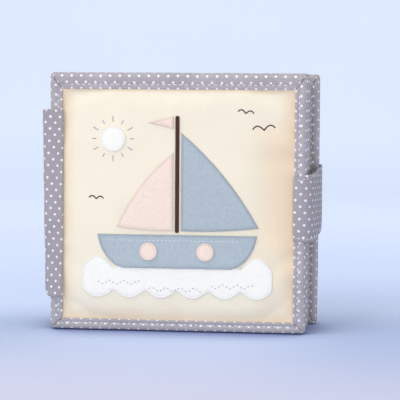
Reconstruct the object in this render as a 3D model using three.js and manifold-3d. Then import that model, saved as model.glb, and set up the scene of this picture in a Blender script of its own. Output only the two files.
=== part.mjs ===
// A baby's cloth activity book: three padded leaves with bound edges, held together at the left by a
// cloth spine strip and kept shut at the right by a wrap-around closure with a hook-and-loop patch.
// Millimetres. +X is to the right of the front cover, the cover faces -Y, +Z is up.
import * as THREE from 'three';
import { mergeVertices } from 'three/addons/utils/BufferGeometryUtils.js';
import Module from 'manifold-3d';

const wasm = await Module();
wasm.setup();

// Leaves
const LEAF_WIDTH = 200;
const LEAF_HEIGHT = 200;
const LEAF_PITCH = 19;          // from one leaf's middle plane to the next
const LEAF_STAGGER = 5;         // each leaf stands this much further right than the one before it
const CLOTH_GAP = 0.3;          // between layers that are sewn together

// Edge binding, a folded tape round each leaf
const BINDING_HALF = 6.2;       // half of its thickness
const BINDING_WALL = 1.1;
const BINDING_SIDE = 10;        // width on the face, left and right
const BINDING_TOP = 12.5;
const BINDING_FOOT = 9;
const BINDING_CORNER = 5;
const BINDING_HEM = 0.6;        // turned-in edge of the tape
const BINDING_ROUND = 4;        // how far the puffed edge rounds over
const BINDING_FLAT = 3;         // half width of the flat on which the leaf stands
const EDGE_STEPS = 3;           // facets of the puffed edge
const CORNER_STEPS = 4;

// Face panels and batting
const PANEL_SKIN = 0.9;
const PANEL_INSET = 2.6;         // panel edge to leaf edge, inside the binding
const PANEL_EDGE = 4.5;         // height of the panel's face where the binding holds it
const COVER_CROWN = 1.9;        // rise of the padded outside covers
const PAGE_CROWN = 0.7;         // rise of the inside pages
const CROWN_RUN = 14;           // width over which a panel rises from the binding
const CROWN_STEPS = 3;

// Felt and thread
const FELT = 1.1;

// Spine strip
const STRIP_THICK = 1.6;
const STRIP_LOW = 26;
const STRIP_HEIGHT = 146;
const STRIP_OVERLAP = 2;        // past the binding, on the panel
const SPINE_BULGE = 5.5;        // how far the strip stands out left of the front leaf
const SPINE_SLACK_FRONT = 5.8;  // strip to the leaves' edges, between front and middle leaf
const SPINE_SLACK_BACK = 4.4;
const SPINE_SPLIT = 0.35;       // half of the gap on each hinge plane
const SPINE_SEWN = 1;           // the laps lie flat from here on, in from the leaf's edge
const SPINE_TURN = 5.4;         // from the front lap's middle to where the bulge is widest
const SPINE_SHOULDER = [1.4, 1.8];
const SPINE_WIDEST = 2;         // behind the front leaf's middle plane, where the bulge ends
const SPINE_MIDDLE_SLACK = [[3.4, -4], [1.2, 1]];   // out past its snug place, and depth from the leaf's middle
const SPINE_BACK_SLACK = [[2.2, -4], [0.4, 3]];
const SPINE_BACK_TURN = [5, 0.4];                   // where the back lap comes to lie flat, and its rise

// Closure
const CLOSURE_LOW = 71;
const CLOSURE_HEIGHT = 51;
const CLOSURE_THICK = 1.6;
const CLOSURE_LAP = 10.5;       // length sewn on the front binding
const CLOSURE_FLAP = 42;        // length behind the back cover
const CLOSURE_CORNER = 9;
const CLOSURE_CLEAR = 0.8;      // to the leaves' edges
// Points of the closure's side: share of the way right to the back leaf's edge, and depth in leaf pitches
const CLOSURE_ROUTE = [[0.28, -0.8], [0.53, -0.33], [0.79, 0.2], [0.97, 0.66]];
const LAP_CORNER = 0.5;
const PATCH_THICK = 0.8;
const PATCH_WIDTH = 22;
const PATCH_HEIGHT = 36;
const PATCH_CORNER = 3;
const PATCH_TO_EDGE = 12;       // patch to the back leaf's right edge

// Cover picture: a sailing boat on waves
const SEA_WIDTH = 148;
const SEA_LOW = 26;
const SEA_HIGH = 56;
const SEA_CRESTS = 6;
const SEA_CREST = 7;
const HULL_LOW = 50;
const HULL_HIGH = 76;
const HULL_DECK = 124;
const HULL_KEEL = 84;
const HULL_FLARE = 4;
const MAST_WIDTH = 3.2;
const MAST_HIGH = 168;
const MAST_CORNER = 1.2;
const SAIL_GAP = 1.5;
const MAIN_FOOT = 60;
const MAIN_HIGH = 155;
const JIB_FOOT = 44;
const JIB_HIGH = 140;
const SAIL_BELLY = 7;
const SAIL_CLEW = 3;            // how far the clew stands above the foot
const SAIL_FOOT = 1;            // how far the foot's edge dips
const PENNANT_LENGTH = 20;
const PENNANT_HEIGHT = 10;
const SUN_RADIUS = 10;
const SUN_AT = [-50, 150];
const PORTHOLE_RADIUS = 7;
const PORTHOLE_SPACING = 44;

// Clock page
const DIAL_RADIUS = 48;
const DIAL_HEIGHT = 84;
const HAND_WIDTH = 8;
const HAND_HUB = 5.5;
const HAND_BARB = 2;
const HOUR_ANGLE = Math.PI / 3;
const MINUTE_ANGLE = -Math.PI / 3;
const HOUR_LENGTH = 25;
const MINUTE_LENGTH = 36;
const PIVOT_RADIUS = 2.6;
const PIVOT_CLEAR = 0.4;
const BUTTON_RADIUS = 8;
const BUTTON_THICK = 2;
const BUTTON_UNDER = 0.9;       // bevel of the underside
const BUTTON_EDGE = 0.4;
const BUTTON_LIP = 1.6;         // width of the raised rim
const BUTTON_DISH = 0.6;
const BUTTON_HOLE = 0.9;
const BUTTON_HOLE_SPACING = 2;
const BUTTON_HOLE_DEPTH = 0.7;

// Zip pocket page
const POCKET_WIDTH = 140;
const POCKET_LOW = 32;
const POCKET_CORNER = 4;
const ZIP_FROM_TOP = 35.5;      // zip's middle to the panel's upper edge
const ZIP_PITCH = 4;
const ZIP_TEETH = 31;
const TOOTH_NECK = 1.2;
const TOOTH_HEAD = 1.6;
const TOOTH_REACH = 1.5;        // past the middle line
const TOOTH_ROOT = 4.2;
const TOOTH_WAIST = 0.2;        // narrowest place, short of the middle line
const TOOTH_SHOULDER = 0.9;     // full width from here on, from the tip
const TOOTH_TIP = 0.3;          // bevel of the tip
const TOOTH_THICK = 2;
const TOOTH_RAISE = 0.8;
const TAPE_THICK = 0.6;
const TAPE_WIDTH = 9;
const TAPE_FROM_MIDDLE = 2.8;
const TAPE_END = 5;             // tape past the end stops
const STOP_LENGTH = 3;
const FACING_HEIGHT = 12;
const FACING_CORNER = 2;
const POCKET_TO_TEETH = 1.8;
const SLIDER_LENGTH = 14;
const SLIDER_PLATE = 1;
const SLIDER_FLANGE = 1.2;
const FLANGE_SET_IN = 0.1;
const SLIDER_CORNER = 1.5;
const SLIDER_CLEAR = 0.3;
const SLIDER_NOSE = 7;
const BRIDGE_WIDTH = 2.4;
const BRIDGE_POST = 1.6;
const BRIDGE_SPAN = 8.6;
const BRIDGE_BEAM = 0.8;
const BRIDGE_SINK = 0.2;        // how far a post goes into plate and beam
const PULL_THICK = 0.7;
const PULL_WIDTH = 7;
const PULL_CORNER = 1.6;
const PULL_LENGTH = 26;
const PULL_BAR = 1.4;
const PULL_EYE = 6.4;

// Flower page
const FLOWER_HEIGHT = 124;
const FLOWER_RADIUS = 34;
const PETAL_DEPTH = 6;
const PETAL_FULLNESS = 0.8;
const PETAL_STEPS = 10;
const PETALS = 6;
const STEM_WIDTH = 7;
const STEM_LOW = 24;
const STEM_CORNER = 3;
const FOLIAGE_LENGTH = 34;
const FOLIAGE_WIDTH = 16;
const FOLIAGE_HEIGHTS = [44, 62];
const FOLIAGE_BELLY = 0.45;
const FOLIAGE_TILT = Math.PI / 6;

// Bead page
const BEAD_ROWS = [40, 60, 80];
const BEAD_RADIUS = 8.5;
const BEAD_THICK = 5;
const BEAD_BEVEL = 1;
const BEAD_RAISE = 0.5;
const BEAD_TRAVEL = 84;
const RIBBON_WIDTH = 7;
const RIBBON_THICK = 0.6;
const RIBBON_CLEAR = 0.4;
const RIBBON_SEWN = 8;
const RIBBON_RISE = 10;
const ARCH_FOOT = 104;
const ARCH_RADIUS = 50;
const ARCH_BAND = 11;
const ARCH_COUNT = 3;

// Finishes
const DOTTED_CLOTH = { color: 0xa5a1a9, roughness: 0.9, metalness: 0 };
const CREAM_CLOTH = { color: 0xf7eedd, roughness: 0.9, metalness: 0 };
const BLUE_CLOTH = { color: 0xd3deea, roughness: 0.9, metalness: 0 };
const PINK_CLOTH = { color: 0xf3dcd2, roughness: 0.9, metalness: 0 };
const BATTING = { color: 0xf4f4f2, roughness: 1, metalness: 0 };
const BLUE_FELT = { color: 0xacbbcb, roughness: 1, metalness: 0 };
const WHITE_FELT = { color: 0xf3f6f9, roughness: 1, metalness: 0 };
const PINK_FELT = { color: 0xf6e2d8, roughness: 1, metalness: 0 };
const BROWN_FELT = { color: 0x462319, roughness: 1, metalness: 0 };
const GREEN_FELT = { color: 0x9db79c, roughness: 1, metalness: 0 };
const HOOK_AND_LOOP = { color: 0x9a97a0, roughness: 1, metalness: 0 };
const BEECH = { color: 0xd9b98c, roughness: 0.55, metalness: 0 };
const BUTTON_PLASTIC = { color: 0xf2ede4, roughness: 0.35, metalness: 0 };
const ZIP_PLASTIC = { color: 0x8fa3b8, roughness: 0.45, metalness: 0 };
const ZIP_TAPE = { color: 0x9fb0c3, roughness: 0.9, metalness: 0 };

const COVER_FACE = PANEL_EDGE + COVER_CROWN;
const PAGE_FACE = PANEL_EDGE + PAGE_CROWN;
const HALF_WIDTH = LEAF_WIDTH / 2;
const PANEL_RIGHT = HALF_WIDTH - BINDING_SIDE;
const PANEL_HIGH = LEAF_HEIGHT - BINDING_TOP;
const ZIP_HEIGHT = PANEL_HIGH - ZIP_FROM_TOP;

// Mesh tools

function addPiece(parent, name, geometry, finish, position = [0, 0, 0]) {
  const mesh = new THREE.Mesh(geometry, new THREE.MeshStandardMaterial(finish));
  mesh.name = name;
  mesh.position.set(...position);
  parent.add(mesh);
  return mesh;
}

function toSolid(geometry) {
  const bare = geometry.clone();
  bare.deleteAttribute('normal');
  bare.deleteAttribute('uv');
  const merged = mergeVertices(bare, 1e-4);
  return new wasm.Manifold(new wasm.Mesh({
    numProp: 3,
    vertProperties: new Float32Array(merged.attributes.position.array),
    triVerts: new Uint32Array(merged.index.array),
  }));
}

function fromSolid(solid) {
  const mesh = solid.getMesh();
  const geometry = new THREE.BufferGeometry();
  geometry.setAttribute('position', new THREE.BufferAttribute(new Float32Array(mesh.vertProperties), 3));
  geometry.setIndex(new THREE.BufferAttribute(new Uint32Array(mesh.triVerts), 1));
  return geometry;
}

// A closed solid from points and quads or triangles, turned so that its faces point out.
function closedGeometry(points, faces) {
  let volume = 0;
  const triangles = faces.flatMap((f) => (f.length === 4 ? [[f[0], f[1], f[2]], [f[0], f[2], f[3]]] : [f]));
  for (const [a, b, c] of triangles) {
    volume += points[a].dot(points[b].clone().cross(points[c]));
  }
  const turned = volume < 0 ? triangles.map(([a, b, c]) => [a, c, b]) : triangles;
  const geometry = new THREE.BufferGeometry();
  geometry.setFromPoints(points);
  geometry.setIndex(turned.flat());
  return geometry;
}

// A sheet between two height fields over a grid of lines.
function slabGeometry(us, vs, low, high) {
  const points = [];
  const at = (side, i, j) => (side * us.length + i) * vs.length + j;
  for (const height of [low, high]) {
    for (const u of us) {
      for (const v of vs) {
        points.push(new THREE.Vector3(u, v, height(u, v)));
      }
    }
  }
  const faces = [];
  const lastU = us.length - 1;
  const lastV = vs.length - 1;
  for (let i = 0; i < lastU; i += 1) {
    for (let j = 0; j < lastV; j += 1) {
      faces.push([at(0, i, j), at(0, i, j + 1), at(0, i + 1, j + 1), at(0, i + 1, j)]);
      faces.push([at(1, i, j), at(1, i + 1, j), at(1, i + 1, j + 1), at(1, i, j + 1)]);
    }
  }
  for (let i = 0; i < lastU; i += 1) {
    faces.push([at(0, i, 0), at(0, i + 1, 0), at(1, i + 1, 0), at(1, i, 0)]);
    faces.push([at(0, i + 1, lastV), at(0, i, lastV), at(1, i, lastV), at(1, i + 1, lastV)]);
  }
  for (let j = 0; j < lastV; j += 1) {
    faces.push([at(0, 0, j + 1), at(0, 0, j), at(1, 0, j), at(1, 0, j + 1)]);
    faces.push([at(0, lastU, j), at(0, lastU, j + 1), at(1, lastU, j + 1), at(1, lastU, j)]);
  }
  return closedGeometry(points, faces);
}

function extruded(shape, depth, curveSegments = 8) {
  return new THREE.ExtrudeGeometry(shape, { depth, bevelEnabled: false, curveSegments });
}

function polygon(points) {
  return new THREE.Shape(points.map(([x, y]) => new THREE.Vector2(x, y)));
}

function disc(radius) {
  const shape = new THREE.Shape();
  shape.absarc(0, 0, radius, 0, 2 * Math.PI);
  return shape;
}

function roundedBox(x0, y0, x1, y1, radius) {
  const shape = new THREE.Shape();
  shape.moveTo(x0 + radius, y0);
  shape.lineTo(x1 - radius, y0);
  shape.absarc(x1 - radius, y0 + radius, radius, -Math.PI / 2, 0);
  shape.lineTo(x1, y1 - radius);
  shape.absarc(x1 - radius, y1 - radius, radius, 0, Math.PI / 2);
  shape.lineTo(x0 + radius, y1);
  shape.absarc(x0 + radius, y1 - radius, radius, Math.PI / 2, Math.PI);
  shape.lineTo(x0, y0 + radius);
  shape.absarc(x0 + radius, y0 + radius, radius, Math.PI, 1.5 * Math.PI);
  return shape;
}

// The outline of a band that follows a curve. An end on a hinge plane is cut along X.
function bandShape(route, thickness, cutStart, cutEnd, steps = 16) {
  const line = new THREE.SplineCurve(route.map(([x, y]) => new THREE.Vector2(x, y))).getPoints(steps);
  const outer = [];
  const inner = [];
  line.forEach((point, i) => {
    const ahead = line[Math.min(i + 1, steps)];
    const behind = line[Math.max(i - 1, 0)];
    const along = ahead.clone().sub(behind).normalize();
    const across = new THREE.Vector2(-along.y, along.x);
    if ((i === 0 && cutStart) || (i === steps && cutEnd)) {
      across.set(Math.sign(across.x), 0);
    }
    outer.push(point.clone().addScaledVector(across, thickness / 2));
    inner.push(point.clone().addScaledVector(across, -thickness / 2));
  });
  return new THREE.Shape([...outer, ...inner.reverse()]);
}

// Leaves. A page group has X to the reader's right, Y up and Z out of the page.

function makeLeaf(book, index) {
  const leaf = new THREE.Group();
  leaf.position.set(index * LEAF_STAGGER, index * LEAF_PITCH, 0);
  book.add(leaf);
  const pages = [-1, 1].map((side) => {
    const turn = new THREE.Group();
    turn.rotation.z = side > 0 ? Math.PI : 0;
    const page = new THREE.Group();
    page.rotation.x = Math.PI / 2;
    turn.add(page);
    leaf.add(turn);
    return page;
  });
  return { leaf, front: pages[0], back: pages[1] };
}

function crownAt(u, v) {
  const ease = (run) => 1 - (1 - THREE.MathUtils.clamp(run / CROWN_RUN, 0, 1)) ** 2;
  return ease(PANEL_RIGHT - Math.abs(u)) * ease(Math.min(v - BINDING_FOOT, PANEL_HIGH - v));
}

function crownLines(low, heldLow, heldHigh, high) {
  const lines = [low];
  for (let i = 0; i <= CROWN_STEPS; i += 1) {
    lines.push(heldLow + (i / CROWN_STEPS) * CROWN_RUN);
  }
  for (let i = CROWN_STEPS; i >= 0; i -= 1) {
    lines.push(heldHigh - (i / CROWN_STEPS) * CROWN_RUN);
  }
  return [...lines, high];
}

function padGeometry(inset, low, high) {
  const us = crownLines(inset - HALF_WIDTH, -PANEL_RIGHT, PANEL_RIGHT, HALF_WIDTH - inset);
  const vs = crownLines(inset, BINDING_FOOT, PANEL_HIGH, LEAF_HEIGHT - inset);
  return slabGeometry(us, vs, low, high);
}

function panelGeometry(rise) {
  const face = (u, v) => PANEL_EDGE + rise * crownAt(u, v);
  return padGeometry(PANEL_INSET, (u, v) => face(u, v) - PANEL_SKIN, face);
}

function battingGeometry(frontRise, backRise) {
  const held = PANEL_EDGE - PANEL_SKIN - CLOTH_GAP;
  return padGeometry(
    PANEL_INSET + CLOTH_GAP,
    (u, v) => -held - backRise * crownAt(u, v),
    (u, v) => held + frontRise * crownAt(u, v),
  );
}

// One section of the binding: distance in from the leaf's edge, and height from its middle plane.
function bindingSection(width) {
  const half = BINDING_HALF;
  const slot = half - BINDING_WALL;
  const face = [[width, half - BINDING_HEM], [width - BINDING_HEM, half]];
  for (let i = 0; i <= EDGE_STEPS; i += 1) {
    const turn = (i / EDGE_STEPS) * (Math.PI / 2);
    face.push([BINDING_ROUND * (1 - Math.sin(turn)), BINDING_FLAT + (half - BINDING_FLAT) * Math.cos(turn)]);
  }
  const channel = [[width, slot], [BINDING_WALL, slot]];
  const mirrored = (points) => points.map(([inset, height]) => [inset, -height]).reverse();
  return [...face, ...mirrored(face), ...mirrored(channel).reverse(), ...channel.reverse()];
}

function bindingGeometry() {
  const sides = bindingSection(BINDING_SIDE);
  const rows = [];
  for (let corner = 0; corner < 4; corner += 1) {
    const toRight = corner === 0 || corner === 3 ? 1 : -1;
    const upward = corner < 2 ? 1 : -1;
    const ends = bindingSection(upward > 0 ? BINDING_TOP : BINDING_FOOT);
    for (let step = 0; step <= CORNER_STEPS; step += 1) {
      const angle = (corner + step / CORNER_STEPS) * (Math.PI / 2);
      rows.push(sides.map(([inset, height], k) => {
        const radius = Math.max(BINDING_HEM, BINDING_CORNER - (inset + ends[k][0]) / 2);
        return new THREE.Vector3(
          toRight * (HALF_WIDTH - inset - radius) + radius * Math.cos(angle),
          LEAF_HEIGHT / 2 + upward * (LEAF_HEIGHT / 2 - ends[k][0] - radius) + radius * Math.sin(angle),
          height,
        );
      }));
    }
  }
  const around = sides.length;
  const faces = [];
  for (let i = 0; i < rows.length; i += 1) {
    const next = (i + 1) % rows.length;
    for (let k = 0; k < around; k += 1) {
      const beside = (k + 1) % around;
      faces.push([i * around + k, i * around + beside, next * around + beside, next * around + k]);
    }
  }
  return closedGeometry(rows.flat(), faces);
}

function dressLeaf(parts, name, frontName, backName, frontRise, backRise, frontCloth, backCloth) {
  addPiece(parts.front, `${name}_batting`, battingGeometry(frontRise, backRise), BATTING);
  addPiece(parts.front, frontName, panelGeometry(frontRise), frontCloth);
  addPiece(parts.back, backName, panelGeometry(backRise), backCloth);
  addPiece(parts.front, `${name}_binding`, bindingGeometry(), DOTTED_CLOTH);
}

// Spine strip, one length for each leaf, parted on the hinge planes

const STRIP_OUT = BINDING_HALF + CLOTH_GAP + STRIP_THICK / 2;
const STRIP_SIDE = HALF_WIDTH + CLOTH_GAP + STRIP_THICK / 2;
const HINGE_OUT = LEAF_PITCH / 2 - SPINE_SPLIT;
const FRONT_CROSSING = -HALF_WIDTH - LEAF_STAGGER / 2 - SPINE_SLACK_FRONT;
const BACK_CROSSING = -HALF_WIDTH + LEAF_STAGGER / 2 - SPINE_SLACK_BACK;

function addStrip(leaf, name, route, cutStart, cutEnd) {
  const shape = bandShape(route, STRIP_THICK, cutStart, cutEnd);
  addPiece(leaf, name, extruded(shape, STRIP_HEIGHT), DOTTED_CLOTH, [0, 0, STRIP_LOW]);
}

function addSpine(front, middle, back) {
  const lap = -PANEL_RIGHT + STRIP_OVERLAP;
  const sewn = SPINE_SEWN - HALF_WIDTH;
  const bulge = -HALF_WIDTH - SPINE_BULGE + STRIP_THICK / 2;
  const slack = (points) => points.map(([out, depth]) => [-STRIP_SIDE - out, depth]);
  addStrip(front.leaf, 'spine_front_lap', [
    [lap, -STRIP_OUT],
    [sewn, -STRIP_OUT],
    [bulge + SPINE_SHOULDER[0], SPINE_SHOULDER[1] - STRIP_OUT],
    [bulge, SPINE_TURN - STRIP_OUT],
    [bulge, SPINE_WIDEST],
    [FRONT_CROSSING + LEAF_STAGGER, HINGE_OUT],
  ], false, true);
  addStrip(middle.leaf, 'spine_middle', [
    [FRONT_CROSSING, -HINGE_OUT],
    ...slack(SPINE_MIDDLE_SLACK),
    [BACK_CROSSING, HINGE_OUT],
  ], true, true);
  addStrip(back.leaf, 'spine_back_lap', [
    [BACK_CROSSING - LEAF_STAGGER, -HINGE_OUT],
    ...slack(SPINE_BACK_SLACK),
    [sewn, STRIP_OUT - SPINE_BACK_TURN[1]],
    [SPINE_BACK_TURN[0] - HALF_WIDTH, STRIP_OUT],
    [lap, STRIP_OUT],
  ], true, false);
}

// Closure: lap on the front binding, side over the leaves' edges, flap behind the back cover

const COVER_OUT = LEAF_PITCH + COVER_FACE;
const FLAP_INNER = COVER_OUT + 2 * PATCH_THICK + 3 * CLOTH_GAP;
const LAP_INNER = LEAF_PITCH + BINDING_HALF + CLOTH_GAP;
const LAP_OUTER = LAP_INNER + CLOSURE_THICK;
const FRONT_EDGE = HALF_WIDTH - LEAF_STAGGER;
const BACK_EDGE = HALF_WIDTH + LEAF_STAGGER;
const SIDE_FRONT = FRONT_EDGE + CLOTH_GAP + CLOSURE_CLEAR + CLOSURE_THICK / 2;
const SIDE_BACK = BACK_EDGE + CLOTH_GAP + CLOSURE_CLEAR + CLOSURE_THICK / 2;

function addClosure(book, backCover) {
  const lapEnd = SIDE_FRONT - CLOSURE_THICK / 2 - CLOTH_GAP;
  const high = CLOSURE_LOW + CLOSURE_HEIGHT;
  const lap = roundedBox(FRONT_EDGE - CLOSURE_LAP, CLOSURE_LOW, lapEnd, high, LAP_CORNER);
  const lapMesh = addPiece(book, 'closure_lap', extruded(lap, CLOSURE_THICK, 2), DOTTED_CLOTH);
  lapMesh.rotation.x = Math.PI / 2;
  lapMesh.position.y = -LAP_INNER;
  const side = bandShape([
    [SIDE_FRONT, -LAP_OUTER],
    ...CLOSURE_ROUTE.map(([share, depth]) => [
      THREE.MathUtils.lerp(SIDE_FRONT, SIDE_BACK, share),
      depth * LEAF_PITCH,
    ]),
    [SIDE_BACK, FLAP_INNER - CLOTH_GAP],
  ], CLOSURE_THICK, true, true);
  addPiece(book, 'closure_side', extruded(side, CLOSURE_HEIGHT), DOTTED_CLOTH, [0, 0, CLOSURE_LOW]);
  const flapEnd = SIDE_BACK + CLOSURE_THICK / 2;
  const flap = new THREE.Shape();
  flap.moveTo(flapEnd, CLOSURE_LOW);
  flap.lineTo(flapEnd, high);
  flap.lineTo(flapEnd - CLOSURE_FLAP + CLOSURE_CORNER, high);
  flap.absarc(flapEnd - CLOSURE_FLAP + CLOSURE_CORNER, high - CLOSURE_CORNER,
    CLOSURE_CORNER, Math.PI / 2, Math.PI);
  flap.absarc(flapEnd - CLOSURE_FLAP + CLOSURE_CORNER, CLOSURE_LOW + CLOSURE_CORNER,
    CLOSURE_CORNER, Math.PI, 1.5 * Math.PI);
  const flapMesh = addPiece(book, 'closure_flap', extruded(flap, CLOSURE_THICK, 6), DOTTED_CLOTH);
  flapMesh.rotation.x = Math.PI / 2;
  flapMesh.position.y = FLAP_INNER + CLOSURE_THICK;

  const patchLow = CLOSURE_LOW + (CLOSURE_HEIGHT - PATCH_HEIGHT) / 2;
  const patch = roundedBox(-PATCH_WIDTH / 2, patchLow, PATCH_WIDTH / 2, patchLow + PATCH_HEIGHT, PATCH_CORNER);
  const fromMiddle = HALF_WIDTH - PATCH_TO_EDGE - PATCH_WIDTH / 2;
  addPiece(backCover, 'loop_patch', extruded(patch, PATCH_THICK, 4), HOOK_AND_LOOP,
    [-fromMiddle, 0, COVER_FACE + CLOTH_GAP]);
  const hook = addPiece(book, 'hook_patch', extruded(patch, PATCH_THICK, 4), HOOK_AND_LOOP);
  hook.rotation.x = Math.PI / 2;
  hook.position.set(LEAF_STAGGER + fromMiddle, FLAP_INNER - CLOTH_GAP, 0);
}

// Cover picture

function seaShape() {
  const shape = new THREE.Shape();
  const half = SEA_WIDTH / 2;
  const pitch = SEA_WIDTH / SEA_CRESTS;
  shape.moveTo(-half, SEA_LOW + SEA_CREST);
  for (let i = 0; i < SEA_CRESTS; i += 1) {
    const from = -half + i * pitch;
    shape.quadraticCurveTo(from + pitch / 2, SEA_LOW - SEA_CREST, from + pitch, SEA_LOW + SEA_CREST);
  }
  shape.lineTo(half, SEA_HIGH - SEA_CREST);
  for (let i = SEA_CRESTS; i > 0; i -= 1) {
    const from = -half + i * pitch;
    shape.quadraticCurveTo(from - pitch / 2, SEA_HIGH + 2 * SEA_CREST, from - pitch, SEA_HIGH - SEA_CREST);
  }
  return shape;
}

function hullShape() {
  const shape = new THREE.Shape();
  shape.moveTo(-HULL_DECK / 2, HULL_HIGH);
  shape.quadraticCurveTo(-HULL_DECK / 2 + HULL_FLARE, HULL_LOW + HULL_FLARE, -HULL_KEEL / 2, HULL_LOW);
  shape.lineTo(HULL_KEEL / 2, HULL_LOW);
  shape.quadraticCurveTo(HULL_DECK / 2 - HULL_FLARE, HULL_LOW + HULL_FLARE, HULL_DECK / 2, HULL_HIGH);
  return shape;
}

function sailShape(side, foot, high) {
  const luff = side * (MAST_WIDTH / 2 + SAIL_GAP);
  const clew = luff + side * foot;
  const low = HULL_HIGH + 2 * SAIL_GAP;
  const shape = new THREE.Shape();
  shape.moveTo(luff, low);
  shape.lineTo(luff, high);
  const middle = (luff + clew) / 2;
  shape.quadraticCurveTo(middle + side * SAIL_BELLY, (low + high) / 2 + SAIL_BELLY, clew, low + SAIL_CLEW);
  shape.quadraticCurveTo(middle, low - SAIL_FOOT, luff, low);
  return shape;
}

function addBoat(cover) {
  const layer = (count) => COVER_FACE + CLOTH_GAP + count * (FELT + CLOTH_GAP);
  addPiece(cover, 'felt_sea', extruded(seaShape(), FELT, 6), WHITE_FELT, [0, 0, layer(0)]);
  addPiece(cover, 'felt_hull', extruded(hullShape(), FELT, 8), BLUE_FELT, [0, 0, layer(1)]);
  addPiece(cover, 'felt_mainsail', extruded(sailShape(1, MAIN_FOOT, MAIN_HIGH), FELT), BLUE_FELT,
    [0, 0, layer(0)]);
  addPiece(cover, 'felt_jib', extruded(sailShape(-1, JIB_FOOT, JIB_HIGH), FELT), PINK_FELT,
    [0, 0, layer(0)]);
  const mast = roundedBox(-MAST_WIDTH / 2, HULL_HIGH + SAIL_GAP, MAST_WIDTH / 2, MAST_HIGH, MAST_CORNER);
  addPiece(cover, 'felt_mast', extruded(mast, FELT, 3), BROWN_FELT, [0, 0, layer(0)]);
  const pennant = polygon([
    [-MAST_WIDTH / 2 - SAIL_GAP, MAST_HIGH],
    [-MAST_WIDTH / 2 - SAIL_GAP, MAST_HIGH - PENNANT_HEIGHT],
    [-MAST_WIDTH / 2 - SAIL_GAP - PENNANT_LENGTH, MAST_HIGH - PENNANT_HEIGHT / 2],
  ]);
  addPiece(cover, 'felt_pennant', extruded(pennant, FELT), PINK_FELT, [0, 0, layer(0)]);
  addPiece(cover, 'felt_sun', extruded(disc(SUN_RADIUS), FELT, 12), WHITE_FELT, [...SUN_AT, layer(0)]);
  [-1, 1].forEach((side) => {
    const at = [side * (PORTHOLE_SPACING / 2), (HULL_LOW + HULL_HIGH) / 2, layer(2)];
    const name = side < 0 ? 'felt_porthole_left' : 'felt_porthole_right';
    addPiece(cover, name, extruded(disc(PORTHOLE_RADIUS), FELT, 10), PINK_FELT, at);
  });
}

// Buttons on which hands and flower turn

function buttonGeometry(shank) {
  const top = shank + BUTTON_THICK;
  const dish = top - BUTTON_DISH;
  const profile = [
    [0, 0],
    [PIVOT_RADIUS, 0],
    [PIVOT_RADIUS, shank],
    [BUTTON_RADIUS - BUTTON_UNDER, shank],
    [BUTTON_RADIUS, shank + BUTTON_UNDER],
    [BUTTON_RADIUS - BUTTON_EDGE, top],
    [BUTTON_RADIUS - BUTTON_LIP, top],
    [BUTTON_RADIUS - BUTTON_LIP - BUTTON_DISH, dish],
    [0, dish],
  ].map(([r, z]) => new THREE.Vector2(r, z));
  let solid = toSolid(new THREE.LatheGeometry(profile, 20).rotateX(Math.PI / 2));
  [[-1, -1], [-1, 1], [1, -1], [1, 1]].forEach(([a, b]) => {
    const drill = new THREE.CylinderGeometry(BUTTON_HOLE, BUTTON_HOLE, 2 * BUTTON_HOLE_DEPTH, 6);
    drill.rotateX(Math.PI / 2).translate(a * BUTTON_HOLE_SPACING, b * BUTTON_HOLE_SPACING, dish);
    solid = solid.subtract(toSolid(drill));
  });
  return fromSolid(solid);
}

function pivoted(shape) {
  const hole = new THREE.Path();
  hole.absarc(0, 0, PIVOT_RADIUS + PIVOT_CLEAR, 0, 2 * Math.PI, true);
  shape.holes.push(hole);
  return shape;
}

// Clock page

function handShape(length) {
  const shape = new THREE.Shape();
  const half = HAND_WIDTH / 2;
  const shoulder = Math.acos(half / HAND_HUB);
  shape.absarc(0, 0, HAND_HUB, Math.PI - shoulder, 2 * Math.PI + shoulder);
  shape.lineTo(half, length - HAND_WIDTH);
  shape.lineTo(half + HAND_BARB, length - HAND_WIDTH);
  shape.lineTo(0, length);
  shape.lineTo(-half - HAND_BARB, length - HAND_WIDTH);
  shape.lineTo(-half, length - HAND_WIDTH);
  return pivoted(shape);
}

function addClock(page) {
  const layer = (count) => PAGE_FACE + CLOTH_GAP + count * (FELT + CLOTH_GAP);
  addPiece(page, 'clock_dial', extruded(disc(DIAL_RADIUS), FELT, 28), WHITE_FELT,
    [0, DIAL_HEIGHT, layer(0)]);
  const hour = addPiece(page, 'hour_hand', extruded(handShape(HOUR_LENGTH), FELT, 8), BLUE_FELT,
    [0, DIAL_HEIGHT, layer(1)]);
  hour.rotation.z = HOUR_ANGLE;
  const minute = addPiece(page, 'minute_hand', extruded(handShape(MINUTE_LENGTH), FELT, 8), BROWN_FELT,
    [0, DIAL_HEIGHT, layer(2)]);
  minute.rotation.z = MINUTE_ANGLE;
  const shank = 2 * (FELT + CLOTH_GAP);
  addPiece(page, 'clock_button', buttonGeometry(shank), BUTTON_PLASTIC, [0, DIAL_HEIGHT, layer(1)]);
}

// Zip pocket page. The zip's own axes: X along it, Y across it, Z out of the page.

function toothShape() {
  const right = [
    [TOOTH_HEAD / 2, -TOOTH_ROOT],
    [TOOTH_NECK / 2, -TOOTH_WAIST],
    [TOOTH_HEAD / 2, TOOTH_REACH - TOOTH_SHOULDER],
    [TOOTH_HEAD / 2, TOOTH_REACH - TOOTH_TIP],
    [TOOTH_NECK / 2, TOOTH_REACH],
  ];
  return polygon([...right, ...right.map(([x, y]) => [-x, y]).reverse()]);
}

const ZIP_HALF = ((ZIP_TEETH - 1) * ZIP_PITCH) / 2;
const TAPE_RAISE = TOOTH_RAISE + (TOOTH_THICK - TAPE_THICK) / 2;

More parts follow.
